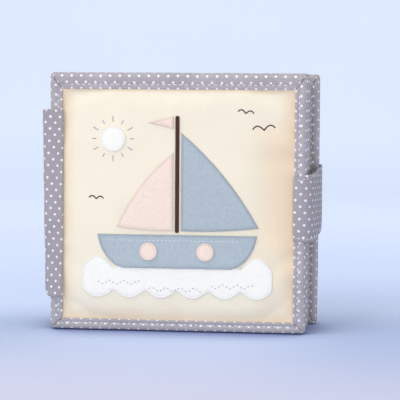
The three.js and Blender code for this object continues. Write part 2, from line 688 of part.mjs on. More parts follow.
// side is -1 for the lower row of teeth, which reach up, and 1 for the upper row.
function zipRowGeometry(side) {
  const tapeHalf = ZIP_HALF + ZIP_PITCH + STOP_LENGTH + TAPE_END;
  const tape = new THREE.BoxGeometry(2 * tapeHalf, TAPE_WIDTH, TAPE_THICK);
  tape.translate(0, -TAPE_FROM_MIDDLE - TAPE_WIDTH / 2, TAPE_RAISE + TAPE_THICK / 2);
  let row = toSolid(tape);
  const tooth = extruded(toothShape(), TOOTH_THICK);
  const count = side < 0 ? ZIP_TEETH : ZIP_TEETH - 1;
  const first = (-(count - 1) * ZIP_PITCH) / 2;
  for (let i = 0; i < count; i += 1) {
    row = row.add(toSolid(tooth.clone().translate(first + i * ZIP_PITCH, 0, TOOTH_RAISE)));
  }
  const stop = new THREE.BoxGeometry(STOP_LENGTH, TOOTH_ROOT - PIVOT_CLEAR, TOOTH_THICK);
  [-1, 1].forEach((end) => {
    row = row.add(toSolid(stop.clone().translate(
      end * (ZIP_HALF + ZIP_PITCH + STOP_LENGTH / 2),
      -(TOOTH_ROOT + PIVOT_CLEAR) / 2,
      TOOTH_RAISE + TOOTH_THICK / 2,
    )));
  });
  const geometry = fromSolid(row);
  return side < 0 ? geometry : geometry.scale(-1, -1, 1);
}

const SLIDER_FACE = TOOTH_RAISE + TOOTH_THICK + SLIDER_CLEAR;
const SLIDER_HALF = TOOTH_ROOT + SLIDER_CLEAR + SLIDER_FLANGE;

function sliderGeometry() {
  const half = SLIDER_HALF;
  const length = SLIDER_LENGTH / 2;
  const outline = new THREE.Shape();
  outline.moveTo(-length, -half + SLIDER_CORNER);
  outline.quadraticCurveTo(-length, -half, -length + SLIDER_CORNER, -half);
  outline.lineTo(length - SLIDER_NOSE / 2, -half);
  outline.quadraticCurveTo(length, -half, length, 0);
  outline.quadraticCurveTo(length, half, length - SLIDER_NOSE / 2, half);
  outline.lineTo(-length + SLIDER_CORNER, half);
  outline.quadraticCurveTo(-length, half, -length, half - SLIDER_CORNER);
  let solid = toSolid(extruded(outline, SLIDER_PLATE, 5).translate(0, 0, SLIDER_FACE));
  const flangeLow = TAPE_RAISE + TAPE_THICK + SLIDER_CLEAR;
  const flangeHigh = SLIDER_FACE + SLIDER_PLATE / 2;
  const flangeLength = SLIDER_LENGTH - SLIDER_NOSE;
  const box = (x, y, z, sx, sy, sz) => toSolid(new THREE.BoxGeometry(sx, sy, sz).translate(x, y, z));
  [-1, 1].forEach((side) => {
    const flangeMiddle = side * (half - (SLIDER_FLANGE + FLANGE_SET_IN) / 2);
    solid = solid.add(box(-length + SLIDER_CORNER + flangeLength / 2, flangeMiddle,
      (flangeLow + flangeHigh) / 2, flangeLength, SLIDER_FLANGE - FLANGE_SET_IN, flangeHigh - flangeLow));
  });
  const plateTop = SLIDER_FACE + SLIDER_PLATE;
  const beamLow = plateTop + 2 * SLIDER_CLEAR + PULL_THICK;
  [-1, 1].forEach((end) => {
    solid = solid.add(box(end * (BRIDGE_SPAN - BRIDGE_POST) / 2, 0, (plateTop + beamLow) / 2,
      BRIDGE_POST, BRIDGE_WIDTH, beamLow - plateTop + 2 * BRIDGE_SINK));
  });
  solid = solid.add(box(0, 0, beamLow + BRIDGE_BEAM / 2, BRIDGE_SPAN, BRIDGE_WIDTH, BRIDGE_BEAM));
  return fromSolid(solid);
}

function pullGeometry() {
  const start = BRIDGE_SPAN / 2 - BRIDGE_POST - SLIDER_CLEAR - PULL_BAR;
  const half = PULL_WIDTH / 2;
  const shape = roundedBox(start, -half, start + PULL_LENGTH, half, PULL_CORNER);
  const eye = new THREE.Path();
  const inner = half - PULL_BAR;
  eye.moveTo(start + PULL_BAR, -inner);
  eye.lineTo(start + PULL_BAR, inner);
  eye.lineTo(start + PULL_BAR + PULL_EYE, inner);
  eye.lineTo(start + PULL_BAR + PULL_EYE, -inner);
  shape.holes.push(eye);
  return extruded(shape, PULL_THICK, 4).translate(0, 0, SLIDER_FACE + SLIDER_PLATE + SLIDER_CLEAR);
}

function addZipPocket(page) {
  const zip = new THREE.Group();
  zip.position.set(0, ZIP_HEIGHT, PAGE_FACE);
  page.add(zip);
  const edge = TOOTH_ROOT + POCKET_TO_TEETH;
  const half = POCKET_WIDTH / 2;
  const pocket = roundedBox(-half, POCKET_LOW - ZIP_HEIGHT, half, -edge, POCKET_CORNER);
  addPiece(zip, 'pocket_panel', extruded(pocket, PANEL_SKIN, 3), BLUE_CLOTH, [0, 0, CLOTH_GAP]);
  const facing = roundedBox(-half, edge, half, edge + FACING_HEIGHT, FACING_CORNER);
  addPiece(zip, 'zip_facing', extruded(facing, PANEL_SKIN, 3), BLUE_CLOTH, [0, 0, CLOTH_GAP]);
  addPiece(zip, 'zip_row_lower', zipRowGeometry(-1), ZIP_TAPE);
  addPiece(zip, 'zip_row_upper', zipRowGeometry(1), ZIP_TAPE);
  const start = -ZIP_HALF - ZIP_PITCH / 2 + SLIDER_LENGTH / 2;
  addPiece(zip, 'zip_slider', sliderGeometry(), ZIP_PLASTIC, [start, 0, 0]);
  addPiece(zip, 'zip_pull', pullGeometry(), ZIP_PLASTIC, [start, 0, 0]);
}

// Flower page

function flowerShape() {
  const points = [];
  const steps = PETALS * PETAL_STEPS;
  for (let i = 0; i < steps; i += 1) {
    const angle = (i / steps) * 2 * Math.PI;
    const swell = Math.abs(Math.sin((PETALS * angle) / 2)) ** PETAL_FULLNESS;
    const radius = FLOWER_RADIUS + PETAL_DEPTH * (2 * swell - 1);
    points.push([radius * Math.cos(angle), radius * Math.sin(angle)]);
  }
  return pivoted(polygon(points));
}

function foliageShape() {
  const shape = new THREE.Shape();
  shape.moveTo(0, 0);
  shape.quadraticCurveTo(FOLIAGE_LENGTH * FOLIAGE_BELLY, -FOLIAGE_WIDTH, FOLIAGE_LENGTH, 0);
  shape.quadraticCurveTo(FOLIAGE_LENGTH * FOLIAGE_BELLY, FOLIAGE_WIDTH, 0, 0);
  return shape;
}

function addFlower(page) {
  const layer = (count) => PAGE_FACE + CLOTH_GAP + count * (FELT + CLOTH_GAP);
  const stem = roundedBox(-STEM_WIDTH / 2, STEM_LOW, STEM_WIDTH / 2, FLOWER_HEIGHT + STEM_WIDTH, STEM_CORNER);
  addPiece(page, 'flower_stem', extruded(stem, FELT, 4), GREEN_FELT, [0, 0, layer(0)]);
  [1, -1].forEach((side, i) => {
    const name = side > 0 ? 'flower_leaf_right' : 'flower_leaf_left';
    const at = [side * (STEM_WIDTH / 2 + CLOTH_GAP), FOLIAGE_HEIGHTS[i], layer(0)];
    const foliage = addPiece(page, name, extruded(foliageShape(), FELT), GREEN_FELT, at);
    foliage.rotation.z = side > 0 ? FOLIAGE_TILT : Math.PI - FOLIAGE_TILT;
  });
  addPiece(page, 'flower', extruded(flowerShape(), FELT, 8), PINK_FELT, [0, FLOWER_HEIGHT, layer(1)]);
  addPiece(page, 'flower_button', buttonGeometry(FELT + CLOTH_GAP), BUTTON_PLASTIC,
    [0, FLOWER_HEIGHT, layer(1)]);
}

// Bead page

const BEAD_MIDDLE = PAGE_FACE + BEAD_RAISE + BEAD_THICK / 2;

function beadGeometry() {
  const half = BEAD_THICK / 2;
  const profile = [
    [0, -half],
    [BEAD_RADIUS - BEAD_BEVEL, -half],
    [BEAD_RADIUS, -half + BEAD_BEVEL],
    [BEAD_RADIUS, half - BEAD_BEVEL],
    [BEAD_RADIUS - BEAD_BEVEL, half],
    [0, half],
  ].map(([r, z]) => new THREE.Vector2(r, z));
  const turned = toSolid(new THREE.LatheGeometry(profile, 24).rotateX(Math.PI / 2));
  const slot = new THREE.BoxGeometry(
    4 * BEAD_RADIUS,
    RIBBON_WIDTH + 2 * RIBBON_CLEAR,
    RIBBON_THICK + 2 * RIBBON_CLEAR,
  );
  return fromSolid(turned.subtract(toSolid(slot)));
}

function ribbonGeometry() {
  const flat = BEAD_TRAVEL / 2 + BEAD_RADIUS + RIBBON_CLEAR;
  const sewn = PAGE_FACE + CLOTH_GAP + RIBBON_THICK / 2;
  const route = [
    [-flat - RIBBON_RISE - RIBBON_SEWN, sewn],
    [-flat - RIBBON_RISE, sewn],
    [-flat, BEAD_MIDDLE],
    [flat, BEAD_MIDDLE],
    [flat + RIBBON_RISE, sewn],
    [flat + RIBBON_RISE + RIBBON_SEWN, sewn],
  ];
  const half = RIBBON_THICK / 2;
  const outline = [
    ...route.map(([x, z]) => [x, z + half]),
    ...route.map(([x, z]) => [x, z - half]).reverse(),
  ];
  return extruded(polygon(outline), RIBBON_WIDTH).translate(0, 0, -RIBBON_WIDTH / 2).rotateX(Math.PI / 2);
}

function archShape(outer) {
  const shape = new THREE.Shape();
  const inner = outer - ARCH_BAND;
  shape.absarc(0, 0, outer, 0, Math.PI);
  shape.absarc(0, 0, inner, Math.PI, 0, true);
  return shape;
}

function addBeads(page) {
  BEAD_ROWS.forEach((height, i) => {
    addPiece(page, `bead_ribbon_${i + 1}`, ribbonGeometry(), DOTTED_CLOTH, [0, height, 0]);
    addPiece(page, `bead_${i + 1}`, beadGeometry(), BEECH, [-BEAD_TRAVEL / 2, height, BEAD_MIDDLE]);
  });
  const finishes = [BLUE_FELT, PINK_FELT, WHITE_FELT];
  for (let i = 0; i < ARCH_COUNT; i += 1) {
    const outer = ARCH_RADIUS - i * (ARCH_BAND + CLOTH_GAP);
    addPiece(page, `felt_arch_${i + 1}`, extruded(archShape(outer), FELT, 14), finishes[i % finishes.length],
      [0, ARCH_FOOT, PAGE_FACE + CLOTH_GAP]);
  }
}

// The book

const book = new THREE.Group();
const front = makeLeaf(book, -1);
const middle = makeLeaf(book, 0);
const back = makeLeaf(book, 1);
dressLeaf(front, 'front', 'front_cover_panel', 'page_2_panel',
  COVER_CROWN, PAGE_CROWN, CREAM_CLOTH, BLUE_CLOTH);
dressLeaf(middle, 'middle', 'page_3_panel', 'page_4_panel',
  PAGE_CROWN, PAGE_CROWN, CREAM_CLOTH, CREAM_CLOTH);
dressLeaf(back, 'back', 'page_5_panel', 'back_cover_panel',
  PAGE_CROWN, COVER_CROWN, PINK_CLOTH, CREAM_CLOTH);
addSpine(front, middle, back);
addClosure(book, back.back);
addBoat(front.front);
addClock(front.back);
addZipPocket(middle.front);
addFlower(middle.back);
addBeads(back.front);

const box = new THREE.Box3().setFromObject(book);
const centre = box.getCenter(new THREE.Vector3());
book.position.set(-centre.x, -centre.y, 0);

export default book;
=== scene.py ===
import math

import bmesh
import bpy
import numpy as np
from mathutils import Matrix, Vector, noise
from mathutils.bvhtree import BVHTree
from mathutils.geometry import delaunay_2d_cdt


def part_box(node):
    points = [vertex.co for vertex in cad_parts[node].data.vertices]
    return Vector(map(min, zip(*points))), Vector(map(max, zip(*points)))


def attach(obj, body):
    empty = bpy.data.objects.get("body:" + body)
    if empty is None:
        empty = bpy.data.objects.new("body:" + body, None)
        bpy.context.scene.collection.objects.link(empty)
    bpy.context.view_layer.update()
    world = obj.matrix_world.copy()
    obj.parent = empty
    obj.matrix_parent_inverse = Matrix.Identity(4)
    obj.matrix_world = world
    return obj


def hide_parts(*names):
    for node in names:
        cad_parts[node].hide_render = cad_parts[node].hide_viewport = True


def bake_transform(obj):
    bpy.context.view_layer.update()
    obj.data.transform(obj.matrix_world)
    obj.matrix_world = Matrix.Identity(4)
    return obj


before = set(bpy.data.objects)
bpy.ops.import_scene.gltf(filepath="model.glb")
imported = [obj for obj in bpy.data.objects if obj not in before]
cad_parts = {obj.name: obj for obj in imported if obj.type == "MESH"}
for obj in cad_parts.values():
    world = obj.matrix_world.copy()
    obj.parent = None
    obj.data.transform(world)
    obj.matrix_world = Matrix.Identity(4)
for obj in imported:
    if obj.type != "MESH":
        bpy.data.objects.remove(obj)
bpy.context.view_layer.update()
MM = 0.001


def add_object(name, data):
    made = bpy.data.objects.new(name, data)
    bpy.context.scene.collection.objects.link(made)
    return made


# Camera: it stands a little right of the book's middle and looks slightly left and down

CAMERA_AT = (0.0809, -0.8474, 0.1856)
CAMERA_YAW, CAMERA_PITCH, CAMERA_ROLL = (math.radians(angle) for angle in (-4.31, 3.17, 0.41))
CAMERA_SENSOR, CAMERA_LENS = 36, 96.7
CAMERA_SHIFT = (-0.0163, -0.1185)


def place_camera():
    level = math.cos(CAMERA_PITCH)
    ahead = Vector((math.sin(CAMERA_YAW) * level, math.cos(CAMERA_YAW) * level, -math.sin(CAMERA_PITCH)))
    right = Vector((math.cos(CAMERA_YAW), -math.sin(CAMERA_YAW), 0))
    right = Matrix.Rotation(-CAMERA_ROLL, 3, ahead) @ right
    data = bpy.data.cameras.new("camera")
    data.sensor_width, data.lens = CAMERA_SENSOR, CAMERA_LENS
    data.shift_x, data.shift_y = CAMERA_SHIFT
    camera = add_object("camera", data)
    turned = Matrix((right, right.cross(ahead), -ahead)).transposed().to_4x4()
    camera.matrix_world = Matrix.Translation(CAMERA_AT) @ turned
    bpy.context.scene.camera = camera


place_camera()

# Sizes, in metres, from the frame

LEAVES = ("front", "middle", "back")
LEAF_BOX = {leaf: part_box(f"{leaf}_binding") for leaf in LEAVES}
LEAF_MIDDLE = {leaf: (low + high) / 2 for leaf, (low, high) in LEAF_BOX.items()}
FRONT_LOW, FRONT_TOP = LEAF_BOX["front"]
LEAF_HALF, LEAF_HIGH = (FRONT_TOP.x - FRONT_LOW.x) / 2, FRONT_TOP.z
BINDING_HALF = (FRONT_TOP.y - FRONT_LOW.y) / 2
SIDE_WIDTH, TOP_WIDTH, FOOT_WIDTH = 10 * MM, 11.7 * MM, 9 * MM
PAD_INSET, PAD_EDGE = 2.6 * MM, 4.5 * MM
CROWN_RUN = 16 * MM
FELT = 1.1 * MM
STITCH_PITCH, TOPSTITCH_PITCH = 4.4 * MM, 2.4 * MM

# Pages. Page coordinates are u to the reader's right, v up and w out of the page.

COVER_SWELL = (1.9 * MM, 1.3 * MM)  # the pad's rise in its middle, and how much further it can puff
PAGE_SWELL = (0.7 * MM, 0.35 * MM)
PAGES = {
    "cover": ("front", -1, COVER_SWELL), "page_2": ("front", 1, PAGE_SWELL),
    "page_3": ("middle", -1, PAGE_SWELL), "page_4": ("middle", 1, PAGE_SWELL),
    "page_5": ("back", -1, PAGE_SWELL), "back_cover": ("back", 1, COVER_SWELL),
}


def to_frame(page, points):
    """Page coordinates to the row frame."""
    leaf, side, _ = PAGES[page]
    middle = LEAF_MIDDLE[leaf]
    u, v, w = np.asarray(points, float).T
    return np.stack([middle.x - side * u, middle.y + side * w, v], 1)


def to_page(page, points):
    leaf, side, _ = PAGES[page]
    middle = LEAF_MIDDLE[leaf]
    x, y, z = np.asarray(points, float).T
    return np.stack([side * (middle.x - x), z, side * (y - middle.y)], 1)


def outward(page, sign=1):
    """The direction out of the page, or into it."""
    return (to_frame(page, [(0, 0, sign)]) - to_frame(page, [(0, 0, 0)]))[0]


def middle_of(node, page):
    low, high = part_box(node)
    return to_page(page, [tuple((low + high) / 2)])[0]


# Materials


class Shader:
    """A material's node tree, with short calls for its nodes."""

    def __init__(self, name, roughness, sheen=0.0, specular=0.5):
        self.material = bpy.data.materials.new(name)
        self.material.use_nodes = True
        self.tree = self.material.node_tree
        self.surface = self.tree.nodes["Principled BSDF"].inputs
        for key, value in (("Roughness", roughness), ("Sheen Weight", sheen), ("Specular IOR Level", specular)):
            self.surface[key].default_value = value

    def put(self, socket, value):
        if isinstance(value, bpy.types.NodeSocket):
            self.tree.links.new(value, socket)
        else:
            socket.default_value = value

    def node(self, kind, inputs=(), **settings):
        """A node's outputs. Its inputs come in their order, or in a dictionary."""
        made = self.tree.nodes.new("ShaderNode" + kind)
        for key, value in settings.items():
            setattr(made, key, value)
        for key, value in inputs.items() if isinstance(inputs, dict) else enumerate(inputs):
            self.put(made.inputs[key], value)
        return made.outputs

    def math(self, operation, *values):
        return self.node("Math", values, operation=operation)[0]

    def times(self, a, b, more=0.0):
        """a times b, plus more."""
        return self.math("MULTIPLY_ADD", a, b, more)

    def sine(self, value, pitch):
        return self.math("SINE", self.times(value, 2 * math.pi / pitch))

    def place(self):
        """The piece's own coordinates, which are the row frame's at rest."""
        return self.node("TexCoord")["Object"]

    def kept(self, name):
        """Coordinates that the mesh keeps under that name."""
        return self.node("UVMap", uv_map=name)["UV"]

    def split(self, vector):
        return self.node("SeparateXYZ", [vector])

    def noise(self, scale, detail=2.0, rough=0.5, stretch=None):
        vector = self.place()
        if stretch:
            vector = self.node("Mapping", {"Vector": vector, "Scale": stretch})[0]
        return self.node("TexNoise", {"Scale": scale, "Detail": detail, "Roughness": rough, "Vector": vector})["Fac"]

    def ramp(self, value, low, high, to_low=0.0, to_high=1.0):
        return self.node("MapRange", (value, low, high, to_low, to_high), interpolation_type="SMOOTHSTEP")[0]

    def mix(self, share, a, b, blend="MIX"):
        return self.node("Mix", {0: share, 6: a, 7: b}, data_type="RGBA", blend_type=blend)[2]

    def vary(self, colour, *waves):
        """The colour, darker and lighter by each wave's amount as its value goes from 0 to 1."""
        for value, amount in waves:
            gain = self.ramp(value, 0.3, 0.7, 1 - amount, 1 + amount)
            colour = self.mix(1.0, colour, self.node("CombineColor", [gain] * 3)[0], "MULTIPLY")
        return colour

    def finish(self, colour, height=None, strength=0.5, depth=0.3 * MM):
        self.put(self.surface["Base Color"], colour)
        if height is not None:
            bump = self.node("Bump", {"Strength": strength, "Distance": depth, "Height": height})
            self.put(self.surface["Normal"], bump[0])
        return self.material


def rgba(colour):
    """A colour written as 0 to 255 in the picture's own scale, as Blender's linear one."""
    return (*(((c / 255 + 0.055) / 1.055) ** 2.4 if c > 10 else c / 255 / 12.92 for c in colour), 1)


def weave(s, across, along, pitch=0.42 * MM):
    """Height of a plain weave over two coordinates."""
    return s.times(s.times(s.sine(across, pitch), s.sine(along, pitch)), 0.5, 0.5)


DOT_ALONG, DOT_ACROSS = 7.5 * MM, 9.5 * MM
DOT_RADIUS, DOT_EDGE = 1.0 * MM, 0.16 * MM
DOT_WAVER = 0.8 * MM


def dotted_cloth(name, ground, dot):
    """Cotton with a white polka dot on a centred lattice, over the cloth coordinates."""
    s = Shader(name, 0.85, sheen=0.15, specular=0.3)
    u, v, _ = s.split(s.kept("cloth"))
    waver = s.times(s.noise(130, 1), DOT_WAVER, -DOT_WAVER / 2)
    places = ((s.math("ADD", u, waver), DOT_ALONG), (s.math("SUBTRACT", v, waver), DOT_ACROSS))
    away = []
    for shift in (0.0, 0.5):
        legs = []
        for value, pitch in places:
            leg = s.times(s.math("FRACT", s.times(value, 1 / pitch, shift)), pitch, -pitch / 2)
            legs.append(s.times(leg, leg))
        away.append(s.math("SQRT", s.math("ADD", *legs)))
    mask = s.ramp(s.math("MINIMUM", *away), DOT_RADIUS - DOT_EDGE, DOT_RADIUS + DOT_EDGE, 1.0, 0.0)
    threads = weave(s, u, v)
    cloth = s.vary(rgba(ground), (s.noise(60, 3), 0.05), (threads, 0.06), (s.noise(1500, 1), 0.05))
    return s.finish(s.mix(s.times(mask, 0.93), cloth, rgba(dot)), threads, 0.35, 0.12 * MM)


SHADE_PATCH_FROM, SHADE_PATCH_TO = 42 * MM, 8 * MM  # the painted warm shade patch, from the panel's right edge
SHADE_PATCH_LOW, SHADE_PATCH_HIGH = (30 * MM, 90 * MM), (145 * MM, 176 * MM)
PAINTED_RIM_SHADE = (-2 * MM, 13 * MM)
RIM_SHADE_WAVER = 10 * MM


def plain_cloth(name, colour, shade_tint, leaf):
    """A leaf's panel. It has painted warm shade along its rim and a painted shade patch at its right."""
    s = Shader(name, 0.85, sheen=0.1, specular=0.3)
    x, _, z = s.split(s.place())
    threads, slub = weave(s, x, z, 0.38 * MM), s.noise(1, 2, stretch=(2600, 2600, 160))
    left, right = (LEAF_MIDDLE[leaf].x + sign * (LEAF_HALF - SIDE_WIDTH) for sign in (-1, 1))
    sides = s.math("MINIMUM", s.math("SUBTRACT", x, left), s.math("SUBTRACT", right, x))
    under_top = s.times(s.math("SUBTRACT", LEAF_HIGH - TOP_WIDTH, z), 3.0)
    ends = s.math("MINIMUM", s.math("SUBTRACT", z, FOOT_WIDTH), under_top)
    near = s.math("ADD", s.math("MINIMUM", sides, ends), s.times(s.noise(30, 2), RIM_SHADE_WAVER, -RIM_SHADE_WAVER / 2))
    # painted shade: a warmer, darker patch at the panel's right, for the shaded dip by the closure
    shade_patch = s.times(s.ramp(x, right - SHADE_PATCH_FROM, right - SHADE_PATCH_TO), s.ramp(z, *SHADE_PATCH_LOW, 0.35, 1.0))
    shade_patch = s.times(shade_patch, s.ramp(z, *SHADE_PATCH_HIGH, 1.0, 0.0))
    with_painted_shade = s.mix(s.times(shade_patch, 0.75), rgba(colour), rgba(shade_tint))
    # painted shade: warmer and darker along the panel's rim, next to the binding, where shade falls
    with_painted_shade = s.mix(s.ramp(near, *PAINTED_RIM_SHADE, 0.75, 0.0), with_painted_shade, rgba(shade_tint))
    shade = s.vary(with_painted_shade, (s.noise(25, 3), 0.02), (slub, 0.012), (threads, 0.012))
    return s.finish(shade, s.times(slub, 0.5, threads), 0.16, 0.08 * MM)


def felt(name, colour, change=0.05, rim_share=0.55):
    """Felt, darker along its cut edge."""
    s = Shader(name, 1.0, sheen=0.35, specular=0.15)
    s.surface["Sheen Roughness"].default_value = 0.6
    clumps, fibres = s.noise(420, 4, 0.65), s.noise(2600, 3, 0.7)
    shade = s.vary(rgba(colour), (clumps, change), (fibres, change))
    depth, _, _ = s.split(s.kept("edge"))
    rim = s.ramp(s.times(clumps, 0.5 * MM, depth), 0.7 * MM, 2.1 * MM, rim_share, 0.0)
    shade = s.mix(rim, shade, rgba([c * 0.8 for c in colour]))
    return s.finish(shade, s.times(fibres, 0.6, clumps), 0.7, 0.35 * MM)


def thread(name, colour):
    s = Shader(name, 0.6, sheen=0.2, specular=0.4)
    x, y, z = s.split(s.place())
    twist = s.times(s.sine(s.math("ADD", s.math("ADD", x, z), y), 0.45 * MM), 0.5, 0.5)
    return s.finish(s.vary(rgba(colour), (twist, 0.08)), twist, 0.6, 0.1 * MM)


def pile(name, colour, scale):
    """Hook-and-loop tape, a dense nap of small loops."""
    s = Shader(name, 0.9, sheen=0.3, specular=0.2)
    cells = s.node("TexVoronoi", {"Scale": scale, "Vector": s.place()})["Distance"]
    return s.finish(s.vary(rgba(colour), (cells, 0.18), (s.noise(900, 2), 0.08)), cells, 0.9, 0.4 * MM)


def plastic(name, colour, roughness=0.3):
    s = Shader(name, roughness, specular=0.5)
    return s.finish(s.vary(rgba(colour), (s.noise(70, 4, 0.6), 0.03)), s.noise(700, 2), 0.08, 0.05 * MM)


def beech(name):
    s = Shader(name, 0.45, specular=0.4)
    grain, flecks = s.noise(1, 5, 0.6, (60, 500, 500)), s.noise(1, 2, stretch=(300, 2400, 2400))
    shade = s.mix(s.ramp(grain, 0.35, 0.65), rgba((205, 168, 120)), rgba((228, 199, 156)))
    return s.finish(s.vary(shade, (flecks, 0.06)), grain, 0.15, 0.1 * MM)


def zip_cloth(name, tape, teeth, middle_z, reach):
    """The zip's rows: moulded teeth near its middle line, woven tape beyond them."""
    s = Shader(name, 0.5, specular=0.4)
    x, _, z = s.split(s.place())
    away = s.math("ABSOLUTE", s.math("SUBTRACT", z, middle_z))
    on_tape = s.ramp(away, reach - 0.1 * MM, reach + 0.1 * MM)
    ribs = s.times(s.sine(z, 0.7 * MM), 0.5, 0.5)
    s.put(s.surface["Roughness"], s.times(on_tape, 0.45, 0.4))
    colour = s.mix(on_tape, s.vary(rgba(teeth), (s.noise(90, 2), 0.03)), s.vary(rgba(tape), (ribs, 0.12)))
    return s.finish(colour, s.times(s.times(ribs, weave(s, x, z)), on_tape), 0.5, 0.2 * MM)


DOTTED = dotted_cloth("dotted_cloth", (173, 168, 173), (246, 244, 249))
# a darker copy of the dotted cloth, painted shade for the spine, closure and bead ribbon strips
DOTTED_SHADED_COPY = dotted_cloth("dotted_strip", (162, 157, 163), (244, 242, 247))
# each panel's second colour is the tint of its painted shade, along its rim and on its right-hand patch
CREAM_INSIDE = ((248, 238, 215), (240, 221, 192))
CREAM_MIDDLE = plain_cloth("cream_cloth_middle", *CREAM_INSIDE, "middle")
BLUE = plain_cloth("blue_cloth", (211, 222, 234), (200, 212, 226), "front")
PAD_CLOTH = {
    "cover": plain_cloth("cream_cloth", (240, 232, 211), (234, 210, 178), "front"), "page_2": BLUE,
    "page_3": CREAM_MIDDLE, "page_4": CREAM_MIDDLE,
    "page_5": plain_cloth("pink_cloth", (243, 220, 210), (234, 206, 194), "back"),
    "back_cover": plain_cloth("cream_cloth_back", *CREAM_INSIDE, "back"),
}
BLUE_FELT = felt("blue_felt", (174, 187, 195))
WHITE_FELT = felt("white_felt", (247, 246, 238), 0.02, 0.22)
PINK_FELT = felt("pink_felt", (243, 224, 210), 0.03, 0.35)
BROWN_FELT = felt("brown_felt", (70, 38, 28), 0.12)
GREEN_FELT = felt("green_felt", (157, 183, 156))
WHITE_THREAD = thread("white_thread", (242, 241, 246))
BLUE_THREAD = thread("blue_thread", (138, 152, 173))
PALE_THREAD = thread("pale_thread", (228, 230, 236))
ROSE_THREAD = thread("rose_thread", (226, 190, 178))
BLACK_THREAD = thread("black_thread", (30, 30, 38))
GREEN_THREAD = thread("green_thread", (122, 150, 122))
BROWN_THREAD = thread("brown_thread", (112, 78, 64))
LOOPS = pile("loop_tape", (154, 151, 160), 1500)
HOOKS = pile("hook_tape", (148, 145, 154), 900)
BUTTON = plastic("button_plastic", (242, 237, 228))
ZIP_PLASTIC = plastic("zip_plastic", (143, 163, 184), 0.38)
BEECH = beech("beech")

# Lines and meshes


def clamp(value):
    return max(0.0, min(1.0, value))


def soft_step(share):
    return share * share * (3 - 2 * share)


def ripple(x, y, seed, size):
    """Smooth noise from -1 to 1 over a length of that size."""
    return noise.noise(Vector((x / size, y / size, seed)))


def unit(vectors):
    return vectors / np.linalg.norm(vectors, axis=1)[:, None]


def run_along(line):
    """How far along the line each of its points is."""
    return np.concatenate([[0], np.cumsum(np.linalg.norm(np.diff(line, axis=0), axis=1))])


def look_up(at, run, rows):
    """The rows, one for each place of run, as they are at other places."""
    return np.stack([np.interp(at, run, column) for column in np.asarray(rows).T], -1)


def spaced(points, step, closed=False):
    """Points on a line at about that step, evenly spaced."""
    line = np.asarray(points, float)
    if closed:
        line = np.vstack([line, line[:1]])
    run = run_along(line)
    at = np.linspace(0, run[-1], max(2, int(round(run[-1] / step))) + 1)
    return look_up(at[:-1] if closed else at, run, line)


def curved(points, steps=8):
    """A smooth line through the points."""
    p = np.asarray(points, float)
    p = np.vstack([2 * p[0] - p[1], p, 2 * p[-1] - p[-2]])
    out = []
    for i in range(1, len(p) - 2):
        for t in np.arange(steps) / steps:
            out.append(0.5 * (
                2 * p[i] + (p[i + 1] - p[i - 1]) * t
                + (2 * p[i - 1] - 5 * p[i] + 4 * p[i + 1] - p[i + 2]) * t ** 2
                + (3 * p[i] - p[i - 1] - 3 * p[i + 1] + p[i + 2]) * t ** 3
            ))
    return np.array([*out, p[-2]])


def add_coordinates(mesh, name, values):
    """Keeps a pair of numbers per vertex as a UV map."""
    layer = mesh.uv_layers.new(name=name)
    corners = np.zeros(len(mesh.loops), int)
    mesh.loops.foreach_get("vertex_index", corners)
    layer.data.foreach_set("uv", np.asarray(values, np.float32)[corners].ravel())


def make_piece(name, points, faces, materials, chosen, cloth=None):
    """An object from row-frame points. cloth gives each point its cloth coordinates."""
    mesh = bpy.data.meshes.new(name)
    mesh.from_pydata([tuple(p) for p in points], [], faces)
    for material in materials:
        mesh.materials.append(material)
    mesh.polygons.foreach_set("material_index", chosen)
    if cloth is not None:
        add_coordinates(mesh, "cloth", cloth)
    mesh.polygons.foreach_set("use_smooth", [True] * len(mesh.polygons))
    mesh.validate()
    return add_object(name, mesh)


class Builder:
    """Gathers grids and tubes into one mesh."""

    def __init__(self):
        self.points, self.faces, self.cloth, self.chosen = [], [], [], []

    def grid(self, rows, cloth=None, around=False, material=0):
        """rows of points, joined in a strip. around closes each row and caps the two ends."""
        first, n, m = len(self.points), len(rows), len(rows[0])
        faces = []
        for i in range(n - 1):
            for j in range(m if around else m - 1):
                k = (j + 1) % m
                faces.append((i * m + j, i * m + k, (i + 1) * m + k, (i + 1) * m + j))
        if around:
            faces += [range(m)[::-1], range((n - 1) * m, n * m)]
        self.points += [p for row in rows for p in row]
        self.faces += [tuple(i + first for i in f) for f in faces]
        self.chosen += [material] * len(faces)
        self.cloth += [c for row in cloth for c in row] if cloth else [(0, 0)] * (n * m)

    def piece(self, name, materials):
        made = make_piece(name, self.points, self.faces, materials, self.chosen, self.cloth)
        bm = bmesh.new()
        bm.from_mesh(made.data)
        bmesh.ops.recalc_face_normals(bm, faces=bm.faces)
        bm.to_mesh(made.data)
        bm.free()
        return made

    def sewn(self, name, threads, slot, body):
        """The stitches gathered so far, as a piece that rides on a body."""
        settle(self.piece(name, threads), body)


def settle(piece, body):
    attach(piece, body)


def tube(builder, line, normals, radius, flat=1.0, sides=6, material=0):
    """A thread along a line, rounded at its ends. It has one normal, or one for each point."""
    line = np.asarray(line, float)
    ahead = unit(np.gradient(line, axis=0))
    across = unit(np.cross(ahead, np.asarray(normals, float)))
    up = np.cross(across, ahead)
    turns = np.arange(sides) / sides * 2 * math.pi
    rings = [(0, -0.75, 0.35), (0, -0.35, 0.8), *((i, 0.0, 1.0) for i in range(len(line)))]
    rings += [(-1, 0.35, 0.8), (-1, 0.75, 0.35)]
    rows = []
    for i, shift, size in rings:
        centre = line[i] + ahead[i] * radius * shift
        rows.append([centre + size * radius * (math.cos(a) * across[i] + flat * math.sin(a) * up[i]) for a in turns])
    builder.grid(rows, around=True, material=material)


STITCH_LIFT = np.array([-1.0, 0.25, 0.45, 0.25, -1.0])


